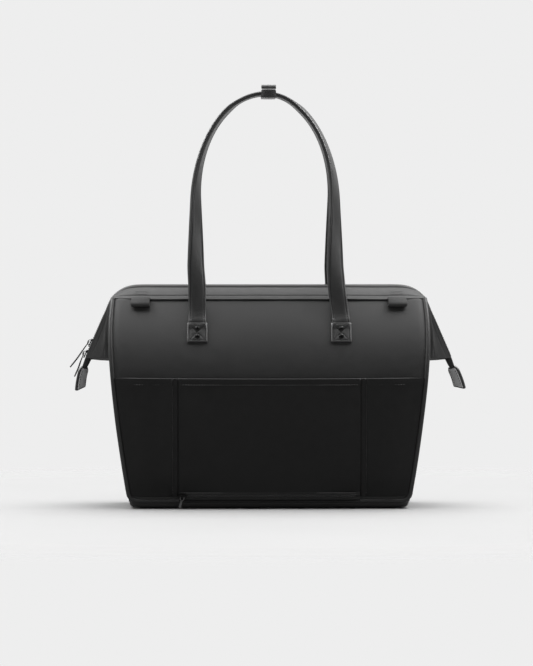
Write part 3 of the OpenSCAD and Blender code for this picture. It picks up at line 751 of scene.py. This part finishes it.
def band(s):
    """The band along the mouth, with a seam, a row of stitches and a rolled upper edge."""
    piece = Piece()
    places = steps(-203.5, 203.5, 150)
    levels = sorted([f for f in steps(0, 1, 14) if abs(f - 0.83) > 0.05 and abs(f - 0.2) > 0.04]
                    + [0.16, 0.18, 0.2, 0.22, 0.24, 0.78, 0.8, 0.815, 0.83, 0.845, 0.86, 0.89, 0.95, 0.975])
    piece.slab(*[[[band_point(x, f, s, off) for x in places] for f in levels] for off in (0.0, -2.0)], SHELL,
               LINING, rim=0.7)

    def sew(line, mat, **sizes):
        piece.stitch([band_point(x, f, s, 0.05) for x, f in line],
                     [unit(band_point(x, f, s, 1.0) - band_point(x, f, s)) for x, f in line], mat, **sizes)

    sew([(x, 0.2) for x in steps(-197, 197, 140)], THREAD)
    for side in (-1, 1) if s < 0 else ():
        # The box of stitches that holds the webbing loop's ends inside the band
        box = [(side * 158, 0.27), (side * 174, 0.27), (side * 174, 0.42), (side * 158, 0.42), (side * 158, 0.27)]
        for (xa, fa), (xb, fb) in zip(box[:-1], box[1:]):
            sew([(lerp(xa, xb, t), lerp(fa, fb, t)) for t in steps(0, 1, 8)], TEETH, length=1.8, gap=0.7, wide=1.2)
    piece.build(SIDE[s] + "_band", body=SIDE[s] + "_mouth")


def facing(s):
    """The casing that wraps the steel frame on the inside of the band."""
    piece = Piece()
    outline = [(13.5, 284.5), (15.0, 279), (17.0, 273), (20.0, 266), (25.0, 260.5), (32.0, 258.5), (39.5, 259.5)]
    piece.slab(*[[[(x, s * (y + thick + wave(x, z, 0, 26, 0.7, 4)), z + drop) for x in steps(-166, 166, 90)]
                  for y, z in outline] for thick, drop in ((0, 0), (0.9, 0.7))], LINING, rim=0.3)
    piece.build(SIDE[s] + "_facing", body=SIDE[s] + "_mouth")


def zip_half(s):
    """One half of the main zip: its tape, its teeth and the cord line along the tape's edge."""
    piece = Piece()
    points = np.concatenate([ZIP_POINTS[::-1] * (-1, 1), ZIP_POINTS[1:]])
    outs = np.concatenate([ZIP_OUTS[::-1] * (-1, 1), ZIP_OUTS[1:]])
    points, outs = points[1:-1], outs[1:-1]
    section = ((1.0, 0.4), (3.2, 0.45), (4.0, 0.3), (6.5, 0.25), (9.0, 0.5), (10.6, 0.9), (11.6, 0.7), (12.6, -0.4))
    piece.slab(*[[[(p[0] + n[0] * (lift - thick), s * y, p[1] + n[1] * (lift - thick))
                   for p, n in zip(points, outs)] for y, lift in section] for thick in (0, 0.9)], TAPE, rim=0.1)
    tooth = soft_box((1.5, 4.0, 2.3), 0.4, 1)
    for i in range(2, len(points) - 2):
        if (i % 2 == 0) == (s < 0):
            run = points[i + 1] - points[i - 1]
            angle = -degrees(atan2(run[1], run[0]))
            p = points[i] + outs[i] * 0.6
            piece.shape(tooth, at(p[0], s * 1.6, p[1], (0, angle, 0)), TEETH)
    piece.build(SIDE[s] + "_zip_tape", bend=mouth_bend(s))


def lining(s):
    """Half of the lining: a soft wall round one half of the inside, with its half of the floor."""
    piece = Piece()

    def outline(z):
        open_end = lerp(0.0, half_d(z) - 8, smooth(186, 262, z)) if z > 186 else 0.0
        w, d, r = half_w(z) - 6.0, half_d(z) - 6.0, 16.0
        points = [(min(w, gusset_x(y, z) - 4.4), y) for y in steps(open_end, max(open_end, d - r), 8)]
        points += [(w - r + r * cos(a), max(open_end, d - r) + min(r, d - open_end) * sin(a))
                   for a in np.linspace(0, pi / 2, 7)[1:-1]]
        half = points + [(x, d) for x in steps(w - r, 0, 20)]
        return half + [(-x, y) for x, y in half[-2::-1]]

    rows = [[(x + wave(x, y, z, 34, 1.2, 6) * 0.7, s * (y - abs(wave(x, y, z, 40, 1.8, 8))), z)
             for x, y in outline(z)] for z in steps(262, PANEL_FOOT_Z, 44)]
    floor = outline(PANEL_FOOT_Z)
    rows += [[(x * f, s * y * f, 7.2) for x, y in floor] for f in (0.985, 0.8, 0.6, 0.4, 0.2, 0.02)]
    middle = np.array([0, 0, 130.0])
    inner = [[np.array(p) + unit(middle - np.array(p)) * 0.8 for p in row] for row in rows]
    piece.slab(rows, inner, LINING, rim=0.2)
    piece.build(SIDE[s] + "_lining", bend=mouth_bend(s), replaces=("lining",) if s < 0 else ())


def inner_pocket():
    """Gathered slip pocket on the inside of the front."""
    piece = Piece()
    outer = []
    for z in steps(36, 114, 24):
        f = (z - 36) / 78
        row = []
        for x in steps(-94, 94, 70):
            edge = smooth(0, 22, 94 - abs(x))
            gather = 0.9 * sin(x * 0.55 + 1.5 * sin(x * 0.13)) * smooth(0.75, 1, f) * edge
            off = 2.0 + 6.5 * edge * arch(f * 0.62 + 0.06) + gather + wave(x, z, 0, 22, 0.8)
            row.append((x, 69.0 - off, z - 2.0 * (1 - (x / 94) ** 2) * f))
        outer.append(row)
    piece.slab(outer, [[(x, y + 1.1, z) for x, y, z in row] for row in outer], LINING, rim=0.5)
    piece.stitch([(x, y - 0.2, z - 5) for x, y, z in outer[-1]][2:-2], (0, -1, 0.1), THREAD)
    piece.build("inner_pocket", body="bag")


# ---------------------------------------------------------------- handles
def lean(z, reach):
    """The big panels' lean at a height, in degrees, over reach mm to each side of it."""
    return degrees(atan((half_d(z - reach) - half_d(z + reach)) / (2 * reach)))


def patch_at(k, s):
    """Local X across, Y out of the panel and Z up, at a handle's patch."""
    place = at(k * STRAP_X, half_d(PATCH_Z) + 1.0, PATCH_Z, (lean(PATCH_Z, 6), 0, 0))
    return FLIP_Y @ place if s < 0 else place


def patch(k, s):
    """Square leather patch over the strap's end, with a border and a cross of stitches."""
    piece = Piece()
    place = patch_at(k, s)
    half_x, half_z = 12.9, 13.3
    a, b = half_x - 2.5, half_z - 2.5

    def top(x, z):
        edge = min(1, (half_x - abs(x)) / 1.6) * min(1, (half_z - abs(z)) / 1.6)
        strap = 1.4 * smooth(3, 11, z) * (1 - smooth(10.6, 12.4, abs(x)))
        y = 1.9 + strap + 0.7 * sqrt(max(edge, 0))
        if abs(x) <= a + 1.5 and abs(z) <= b + 1.5:
            # The furrow that the border and the cross of stitches pull into the leather
            y -= 0.3 * bell(min(abs(abs(x) - a), abs(abs(z) - b), abs(abs(x) * b - abs(z) * a) / hypot(a, b)),
                            0, 0.8)
        return y

    xs, zs = steps(-half_x, half_x, 44), steps(-half_z, half_z, 46)
    piece.slab([[place @ Vector((x, top(x, z), z)) for x in xs] for z in zs],
               [[place @ Vector((x, -0.4, z)) for x in xs] for z in zs], LEATHER, rim=0.35)
    out = place.to_3x3() @ Vector((0, 1, 0))
    for (xa, za), (xb, zb) in (((-a, -b), (a, -b)), ((a, -b), (a, b)), ((a, b), (-a, b)), ((-a, b), (-a, -b)),
                               ((-a + 1, -b + 1), (a - 1, b - 1)), ((a - 1, -b + 1), (-a + 1, b - 1))):
        run = [(lerp(xa, xb, t), lerp(za, zb, t)) for t in steps(0, 1, 12)]
        piece.stitch([place @ Vector((x, top(x, z) + 0.05, z)) for x, z in run], out, LEATHER_THREAD, length=1.9,
                     gap=0.5, wide=1.15, high=0.38)
    piece.build(f"{SIDE[s]}_{HAND[k]}_patch", body=SIDE[s] + "_mouth")


def rivets(s):
    """Four domed rivets with a pressed ring, through the patches."""
    piece = Piece()
    dome = lathe([(0.01, 1.75), (1.0, 1.68), (1.9, 1.35), (2.35, 0.95), (2.6, 0.8), (2.95, 0.85), (3.15, 0.55),
                  (3.2, 0.0), (2.4, -0.4)], 28)
    for k in (-1, 1):
        for y, z in ((3.1, -5.5), (3.35, 5.5)):
            piece.shape(dome, patch_at(k, s) @ at(0, y, z, (-90, 0, 0)), GUNMETAL)
    piece.build(SIDE[s] + "_rivets", body=SIDE[s] + "_mouth", crease=30)


APEX_Y = STRAP_W / 2 + 2   # of a strap's centre line at the top of the arch
LEG_STANDS, LEG_DROP = 4.1, 4.0
LEG_Y = half_d(HINGE_Z) + LEG_STANDS


def strap_y(z):
    """Y of a strap's centre line: off the panel at the patch, dropping back above it and in to the keeper."""
    if z < HINGE_Z:
        return half_d(z) + LEG_STANDS - 1.6 * smooth(0, 6, HINGE_Z - z)
    return (APEX_Y + (LEG_Y - LEG_DROP - APEX_Y) * (max(0, ARCH_Z - z) / (ARCH_Z - HINGE_Z)) ** 1.15
            + LEG_DROP * exp((HINGE_Z - z) / 10))


def strap_path():
    """Centre line of a strap from the right patch, over the leaning arch, to the left patch."""
    def leg(k):
        """From inside the patch up to the arch, moving in and leaning to the left."""
        return [(k * (STRAP_X - STRAP_IN * clamp((z - HINGE_Z) / 45)) - STRAP_LEAN * clamp((z - HINGE_Z) / 70),
                 strap_y(z), z)
                for z in steps(232, 242, 5) + steps(244, 288, 14) + steps(294, ARCH_START_Z - 6, 20)]

    over = []
    for a in steps(0, pi, 64):
        z = ARCH_START_Z + (ARCH_Z - ARCH_START_Z) * sin(a)
        over.append(((STRAP_X - STRAP_IN) * cos(a) - STRAP_LEAN, strap_y(z), z))
    return np.array(leg(1) + over + leg(-1)[::-1])


def strap_turn(z):
    """How far a strap has turned from facing out, in degrees."""
    return 80 * (1 - (1 - clamp((z - 270) / 230)) ** 1.7) + 10 * smooth(515, ARCH_Z - 4, z)


def strap_section():
    """The strap's section as (across, up) pairs: a padded middle and two grooves that hold the stitches."""
    face = [(c, STRAP_T / 2 + 0.35 * (1 - (2 * c / STRAP_W) ** 2) - 0.6 * bell(abs(c), 8.9, 0.75))
            for c in (9.8, 9.4, 8.9, 8.4, 7.9, 6.5, 3.5, 0, -3.5, -6.5, -7.9, -8.4, -8.9, -9.4, -9.8)]
    r = 1.7
    end = [(STRAP_W / 2 - r + r * cos(a), STRAP_T / 2 - r + r * sin(a))
           for a in np.linspace(0, pi / 2, 5)]
    half = end + face + [(-c, d) for c, d in reversed(end)]
    return half + [(-c, -d) for c, d in half]


def handle(s):
    """Folded leather strap: it stands up from its patches and makes half a turn over the arch."""
    piece = Piece()
    path = strap_path()
    n = len(path)
    flip = np.array([1, s, 1])
    section = strap_section()
    rings, lines = [], ([], [])
    for i, p in enumerate(path):
        along = run_at(path, i)
        side = unit(np.array([along[2], 0, -along[0]]))
        face = unit(np.cross(along, side))
        right = 1 if i < n / 2 else -1
        a = radians(strap_turn(p[2]))
        across = right * side * cos(a) - face * sin(a)
        thick = np.cross(along, across)
        near_end = 1 - 0.55 * (1 - smooth(237, 243, p[2]))
        rings.append([(p + across * c + thick * d * near_end) * flip for c, d in section])
        for line, edge in zip(lines, (-1, 1)):
            line.append((p + across * edge * (STRAP_W / 2 - 2.6), thick))
    piece.tube(rings, LEATHER)
    for line in lines:
        for out in (-1, 1):
            # The first and last few points are inside the patches
            piece.stitch([(p + thick * out * (STRAP_T / 2 - 0.35)) * flip for p, thick in line[5:-5]],
                         [thick * out * flip for _, thick in line[5:-5]], LEATHER_THREAD, length=2.9, gap=0.7,
                         wide=1.25, high=0.5)
    piece.build(SIDE[s] + "_handle", bend=strap_bend(s))


KEEPER_HALF = 9.5
KEEPER_TOP = KEEPER_Z + 5.9
FINE = {"length": 1.9, "gap": 0.9, "wide": 0.6, "high": 0.3}   # small stitches


def keeper_band(s):
    """Leather wrapped round the strap at the top of the arch, sewn underneath."""
    piece = Piece()
    rings = []
    for x, swell in ((-KEEPER_HALF, -0.5), (-KEEPER_HALF + 0.7, 0.0), (-4, 0.15), (0, 0.2), (4, 0.15),
                     (KEEPER_HALF - 0.7, 0.0), (KEEPER_HALF, -0.5)):
        ring = pill(26.0 + 2 * swell, 10.8 + 2 * swell, 1.7, 4)
        rings.append([(x, s * (APEX_Y + 0.3 + a * 0.985), KEEPER_Z + 0.5 + b) for a, b in ring])
    back = [[(x, s * (APEX_Y + a), KEEPER_Z + b) for a, b in pill(23.9, 7.2, 1.2, 4)]
            for x in (KEEPER_HALF - 0.2, 0, -KEEPER_HALF + 0.2)]
    piece.tube(rings + back, LEATHER, closed=True)
    for x in (-7.6, 7.6):
        piece.stitch([(x, s * (APEX_Y + y), KEEPER_TOP + 0.05) for y in steps(-10, 10, 14)], (0, 0, 1), THREAD,
                     **FINE)
    piece.build(SIDE[s] + "_keeper", body=SIDE[s] + "_strap")


def closing_tab():
    """The keeper's tab: it bends over the near band's edge and snaps on the far one."""
    piece = Piece()
    route = np.array([(-25.3, 0.8), (-25.9, 2.2), (-25.9, 3.2), (-25.2, 4.4), (-23.6, 5.0), (-18, 5.1), (-8, 4.8),
                      (0, 4.6), (8, 4.8), (15, 5.0), (21, 5.0), (22.4, 4.8)]) + (0, KEEPER_TOP)
    rings = []
    for i, (y, z) in enumerate(route):
        run = run_at(route, i)
        up = np.array([-run[1], run[0]])
        wide = 2 * KEEPER_HALF - (5.0 if i == len(route) - 1 else 1.2 if i == len(route) - 2 else 0)
        rings.append([(c, y + up[0] * d, z + up[1] * d) for c, d in pill(wide, 1.9, 0.7, 3)])
    piece.tube(rings, LEATHER)
    for x in (-7.4, 7.4):
        piece.stitch([(x, y, z + 0.97) for y, z in route[4:-1]], (0, 0, 1), THREAD, **FINE)
    piece.build("keeper_tab", body="closing_tab")


def snaps():
    """The keeper's snap: a cap on the tab and a stud on the front band."""
    cap = Piece()
    cap.shape(lathe([(0.01, 2.1), (1.6, 2.0), (3.0, 1.6), (4.1, 0.9), (4.6, 0.35), (4.6, 0.0), (1.5, -0.1),
                     (1.5, -2.2)], 32), at(0, APEX_Y, KEEPER_TOP + 5.8), GUNMETAL)
    cap.build("snap_cap", body="closing_tab", crease=30)
    stud = Piece()
    stud.shape(lathe([(0.01, 1.6), (1.0, 1.5), (1.3, 1.1), (1.1, 0.7), (2.8, 0.5), (3.0, 0.2), (3.0, -0.2)], 24),
               at(0, APEX_Y, KEEPER_TOP), STEEL)
    stud.build("keeper_stud", body="front_strap", crease=30)


# ---------------------------------------------------------------- zip ends, loops and hardware
SLOPE = unit(np.array([SHOULDER[0] - TIP[0], SHOULDER[1] - TIP[1]]))
SLOPE_ANGLE = degrees(atan2(SHOULDER[0] - TIP[0], SHOULDER[1] - TIP[1]))
UPPER_ALONG, LOWER_ALONG = 21.0, 5.0   # the sliders' places on the slope
UPPER_HANG, LOWER_HANG = 36.5, 22.0    # their pullers, in degrees from straight down


def on_slope(along):
    """Place on the left ear's zip: local Z up the slope, local X out of the bag."""
    return FLIP_X @ at(TIP[0] + along * SLOPE[0], 0, TIP[1] + along * SLOPE[1], (0, SLOPE_ANGLE, 0))


def slider(name, body, along):
    """Zip slider: two shaped wings, the post between them and an arched bail."""
    piece = Piece()
    place = on_slope(along)
    for x in (2.4, -2.4):
        piece.bar(place @ at(x, 0, 0), ((-5.6, 3.0), (-5.0, 3.9), (-1.5, 4.4), (2.0, 4.6), (4.6, 4.1), (5.6, 2.6)),
                  1.35, GUNMETAL)
    piece.shape(soft_box((5.2, 0.8, 3.6), 0.25), place @ at(0, 0, 3.6), GUNMETAL)
    piece.strip(place, [(2.9 + 3.0 * sin(a) ** 0.8, -3.4 * cos(a)) for a in steps(0, pi, 12)],
                2.4, 1.0, GUNMETAL)
    piece.build(name, body=body, crease=30)


def wire_ring(piece, place, rx, rz, wire, mat, sides=28):
    """A wire ring in local Y and Z."""
    rings = []
    for a in steps(0, 2 * pi, sides)[:-1]:
        out = unit(np.array([0, cos(a) / rx, sin(a) / rz])) * wire
        rings.append([place @ Vector((wire * sin(b), rx * cos(a) + out[1] * cos(b),
                                      rz * sin(a) + out[2] * cos(b)))
                      for b in around(8)])
    piece.tube(rings, mat, closed=True)


def puller(name, body, along, hang, length):
    """Zip puller: a wire ring through the bail, a short metal link and a leather pull."""
    piece = Piece()
    slope, bail = radians(SLOPE_ANGLE), 4.6
    place = at(-(TIP[0] + along * SLOPE[0] + bail * cos(slope)), 0,
               TIP[1] + along * SLOPE[1] - bail * sin(slope), (0, hang, 0))
    wire_ring(piece, place @ at(0, 0, -3.4), 2.5, 4.0, 0.6, GUNMETAL)
    piece.bar(place, ((-6.6, 1.7), (-7.4, 2.3), (-9.4, 2.5), (-11.4, 2.3), (-12.0, 1.8)), 1.5, GUNMETAL)
    rings = []
    for i, z in enumerate(steps(-11.0, -length, 12)):
        f = i / 12
        w = 2.3 + 0.9 * sin(pi * min(1, f * 1.1)) - (0.9 if i in (0, 12) else 0)
        rings.append([place @ Vector((d + 0.5 * arch(f), c, z)) for c, d in pill(2 * w, 1.7, 0.6, 3)])
    piece.tube(rings, LEATHER)
    for side in (-1, 1):
        piece.stitch([place @ Vector((0.85 * side + 0.5 * arch(t), 0, lerp(-12.5, -length + 1.5, t)))
                      for t in steps(0, 1, 8)], place.to_3x3() @ Vector((side, 0, 0)), THREAD, length=1.8, gap=0.9,
                     wide=0.5, high=0.25)
    piece.build(name, body=body, crease=34)


SLEEVE_FACE = half_d(SLEEVE_ZIP_Z) + 8.0
SLEEVE_SLIDER_X = -112.0


def sleeve_hardware():
    """The sleeve zip's slider, and its slim puller."""
    piece = Piece()
    place = at(SLEEVE_SLIDER_X, -SLEEVE_FACE, SLEEVE_ZIP_Z)
    stations = ((-5.4, 2.6), (-4.6, 3.7), (0, 4.1), (4.0, 3.4), (5.4, 2.2))
    for y, up, size in ((-2.9, 0.0, 1.0), (1.6, 1.5, 0.7)):
        piece.tube([[place @ Vector((x, y + d, c + up)) for c, d in pill(2 * w * size, 1.2, 0.45, 2)]
                    for x, w in stations], GUNMETAL)
    piece.shape(soft_box((3.4, 5.0, 0.7), 0.2), place @ at(-3.4, -0.7, 0), GUNMETAL)
    rings = []
    for a in steps(0, pi, 10):
        x, y = -2.9 * cos(a), -3.4 - 3.0 * sin(a) ** 0.8
        rings.append([place @ Vector((x - cos(a) * d, y - sin(a) * d, b))
                      for b, d in pill(2.2, 0.9, 0.4, 2)])
    piece.tube(rings, GUNMETAL)
    piece.build("sleeve_slider", body="sleeve_slide", crease=30)
    pull = Piece()
    hang = at(SLEEVE_SLIDER_X, -SLEEVE_FACE - 5, SLEEVE_ZIP_Z, (0, 14, 0)) @ at(0, 0, 0, (0, 0, 90))
    wire_ring(pull, hang @ at(0, 0, -2.4), 2.3, 3.0, 0.5, BRUSHED, 24)
    pull.bar(hang, ((-4.9, 0.9), (-5.6, 1.5), (-9, 1.2), (-12.6, 1.6), (-14.0, 1.7), (-14.8, 1.0)), 1.2, BRUSHED,
             corner=0.45)
    pull.build("sleeve_puller", body="sleeve_pull", crease=34)


def zip_tail(k):
    """The sewn end of the zip under the ear: fabric folded round the tape, flattening to the tab."""
    piece = Piece()
    route = [(233.4, 197.0, 5.4, 10.2), (234.8, 193.4, 5.4, 10.3), (236.5, 189.6, 5.0, 9.8), (238.1, 185.8, 4.7, 9.2),
             (239.6, 182.4, 4.4, 8.6), (240.4, 180.4, 3.8, 8.2)]
    rings = []
    for x, z, thick, wide in route:
        rings.append([(k * (x + d * 0.97), c, z - d * 0.18 + wave(c, z, k, 7, 0.25))
                      for c, d in pill(2 * wide, 2 * thick * 0.92, min(thick * 0.85, 2.0), 4)])
    piece.tube(rings, SHELL)
    x, z, thick, _ = route[4]
    line = [(k * (x + thick * 0.92), y, z) for y in steps(-7, 7, 8)]
    piece.stitch(line, (k, 0, 0), THREAD, length=1.8, gap=0.8)
    piece.build(HAND[k] + "_zip_tail", body="bag")


def zip_tab(k, lean, twist):
    """Leather tab folded over the zip's end, its end cut askew; its inner half shows a paler, suede-like face."""
    piece = Piece()
    place = at(k * 240.74, 0, 180.15, (0, -k * lean, 0))
    length, wide, top = 27.5, 25.0, 1.6

    def spot(c, d, z):
        """Place at c across the tab and d through it, at height z along it."""
        f = (top - z) / (length + top)
        turn = radians(twist * smooth(-0.35, 0.2, f)) * k
        return place @ Vector((k * sin(pi * f) + d * cos(turn) - c * sin(turn),
                               c * cos(turn) + d * sin(turn), z + 0.28 * c * smooth(0.05, 0.7, f)))

    def half(z):
        return wide / 2 * (0.84 + 0.16 * smooth(0, 0.25, (top - z) / (length + top)))

    levels = steps(top, -length, 18)
    ends = (levels[0], levels[-1])
    piece.tube([[spot(c, d, z) for c, d in pill(2 * half(z) - (1.6 if z in ends else 0), 3.4, 1.2, 3)]
                for z in levels], LEATHER)
    grids = [[[spot(c * half(z), -k * d, z) for c in steps(-0.8, 0.86, 10)] for z in steps(-0.8, -length + 1.6, 16)]
             for d in (2.25, 1.5)]
    piece.slab(*grids, PALE, rim=0.2)
    for edge in (-0.6, 0.7):
        line = [spot(edge * half(z), -k * 2.3, z) for z in steps(-3, -length + 2.4, 14)]
        turn = radians(twist) * k
        out = place.to_3x3() @ Vector((-k * cos(turn), -k * sin(turn), 0))
        piece.stitch(line, out, TRIM, length=2.2, gap=1.2, wide=1.1, high=0.3)
    piece.build(HAND[k] + "_zip_tab", body=HAND[k] + "_tab")


LOOP_X, LOOP_Z = 166, SEAM_Z - 1.8


def webbing_loop(k):
    """Webbing doubled into a loop below the band, with its ends sewn into the seam."""
    piece = Piece()
    tilt = degrees(atan((half_d(SEAM_Z - 14) - half_d(SEAM_Z - 2)) / 12))
    place = FLIP_Y @ at(k * LOOP_X, half_d(LOOP_Z) + 1, LOOP_Z, (tilt, 0, 0))
    route = np.array([(1.0, 1.0), (0.9, -1.0), (0.9, -5.0), (1.0, -9.0), (1.6, -11.6), (2.9, -12.9), (4.6, -12.9),
                      (5.8, -11.6), (5.9, -9.6), (5.2, -6.2), (4.3, -2.8), (3.1, -0.4), (2.4, 1.0)])
    fine = [lerp(a, b, f) for a, b in zip(route[:-1], route[1:]) for f in (0, 0.5)] + [route[-1]]
    rings = []
    for i, (y, z) in enumerate(fine):
        run = run_at(fine, i)
        skew = k * smooth(2, 6, y)
        rings.append([place @ Vector((c + skew, y - run[1] * d, z + run[0] * d)) for c, d in pill(24.0, 1.5, 0.6, 2)])
    piece.tube(rings, WEBBING)
    piece.build(HAND[k] + "_webbing_loop", body=HAND[k] + "_loop")


# ---------------------------------------------------------------- build
for s in (-1, 1):
    panel(s)
    piping(s)
    for k in (-1, 1):
        gusset(k, s)
        ear(k, s)
        patch(k, s)
    band(s)
    facing(s)
    zip_half(s)
    lining(s)
    rivets(s)
    handle(s)
    keeper_band(s)
base()
pocket("luggage_sleeve", -1, -SEAMS[0], SEAMS[0], 20.6, True)
pocket("left_slip_pocket", -1, None, -SEAMS[0] - 0.2, 17.0, True)
pocket("right_slip_pocket", -1, SEAMS[0] + 0.2, None, 17.0, True)
pocket("front_pocket", 1, None, None, 14.0, False)
sleeve_zip()
inner_pocket()
closing_tab()
snaps()
slider("upper_slider", "upper_slide", UPPER_ALONG)
slider("lower_slider", "lower_slide", LOWER_ALONG)
puller("upper_puller", "upper_pull", UPPER_ALONG, UPPER_HANG, 41)
puller("lower_puller", "lower_pull", LOWER_ALONG, LOWER_HANG, 33)
sleeve_hardware()
for k in (-1, 1):
    zip_tail(k)
    webbing_loop(k)
zip_tab(1, 21, 27)
zip_tab(-1, 11, 24)

# CAD nodes that keep their own shape get a finish: the steel frames, their pins and the base board
for name, finish in (("back_frame", STEEL), ("front_frame", STEEL), ("frame_pins", STEEL), ("base_board", BOARD)):
    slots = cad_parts[name].data.materials
    slots.clear()
    slots.append(finish)


# ---------------------------------------------------------------- studio
BACKDROP = 0.855


def look(obj, place, aim):
    """Puts a lamp or the camera at place, turned to aim."""
    obj.location = place
    obj.rotation_euler = (aim - place).to_track_quat("-Z", "Y").to_euler()


def studio():
    """A round pale floor that fades into an equally pale surround, lit from above and a little from all sides."""
    bpy.context.scene.view_settings.view_transform = "Standard"
    world = bpy.data.worlds.new("studio")
    bpy.context.scene.world = world
    world.use_nodes = True
    nodes = world.node_tree.nodes
    seen = nodes["Background"]
    seen.inputs["Color"].default_value = (BACKDROP, BACKDROP, BACKDROP, 1)
    # The bag itself sees a dim room with pale walls on its two sides and a bright one behind it
    split = nodes.new("ShaderNodeSeparateXYZ")
    put(split.inputs[0], nodes.new("ShaderNodeTexCoord").outputs["Generated"])
    sideways = calc(nodes, "MULTIPLY", calc(nodes, "ABSOLUTE", split.outputs["X"]), 0.5)
    nearest = calc(nodes, "MAXIMUM", sideways, split.outputs["Y"])
    dim = node(nodes, "ShaderNodeBackground", Color=ramp(nodes, nearest, (0.25, 0.055), (0.5, 0.28), (0.85, 1.0)))
    mix = nodes.new("ShaderNodeMixShader")
    for socket, source in zip(mix.inputs, (nodes.new("ShaderNodeLightPath").outputs["Is Camera Ray"],
                                           dim.outputs[0], seen.outputs[0])):
        put(socket, source)
    put(nodes["World Output"].inputs["Surface"], mix.outputs[0])

    mesh = bpy.data.meshes.new("floor")
    points, faces = lathe([(r, 0) for r in (0.0001, 0.4, 0.8, 1.2, 1.6)], 64)
    mesh.from_pydata(points, [], faces[:-2])
    paper, nodes, shader, place = new_material("paper_floor")
    pale = ramp(nodes, speckle(nodes, place, 3.0, Detail=2.0), (0.3, 0.577), (0.7, 0.587))
    # The floor looks pale but lights the bag from below only faintly
    seen = nodes.new("ShaderNodeLightPath").outputs["Is Camera Ray"]
    put(shader["Base Color"], mixed(nodes, seen, (0.32, 0.32, 0.32, 1), pale))
    put(shader["Roughness"], 1.0)
    put(shader["Specular IOR Level"], 0.0)
    reach = node(nodes, "ShaderNodeVectorMath", operation="LENGTH")
    put(reach.inputs[0], place)
    put(shader["Alpha"], ramp(nodes, reach.outputs["Value"], (0.75, 1.0), (1.0, 0.0)))
    mesh.materials.append(paper)
    new_object("floor", mesh)

    def lamp(name, kind, place, aim, **values):
        data = bpy.data.lights.new(name, kind)
        for key, value in values.items():
            setattr(data, key, value)
        made = new_object(name, data)
        look(made, Vector(place), Vector(aim))
        return made

    lamp("softbox", "SUN", (0.22, 0.5, 3.0), (0, 0, 0), energy=3.6, angle=radians(70))
    for x in (-1, 1):
        # A faint light from the front that leaves no gleam on the dark faces
        lamp("fill_" + HAND[x], "SUN", (x * 2.2, -3.0, 0.5), (0, 0, 0), energy=0.8,
             angle=radians(60)).visible_glossy = False
        lamp("side_" + HAND[x], "AREA", (x * 1.8, -0.3, 1.1), (0, 0, 0.3), shape="RECTANGLE", size=0.5, size_y=1.6,
             energy=3.0)
        # A lamp above each end that shows only as a gleam
        lamp("gleam_" + HAND[x], "AREA", (x * 0.75, -0.02, 1.05), (0, -0.05, 0.25), size=0.45,
             energy=12.5).visible_diffuse = False


studio()
camera_data = bpy.data.cameras.new("camera")
camera = new_object("camera", camera_data)
DISTANCE, AZIMUTH, ELEVATION = 5.0, 1.0, 1.0
aim = Vector((-0.0025, 0, 0.2257))
azimuth, elevation = radians(AZIMUTH), radians(ELEVATION)
look(camera, aim + DISTANCE * Vector((-sin(azimuth) * cos(elevation),
                                      -cos(azimuth) * cos(elevation), sin(elevation))), aim)
camera_data.lens = 36 * (DISTANCE - 0.03) / 0.866
bpy.context.scene.camera = camera
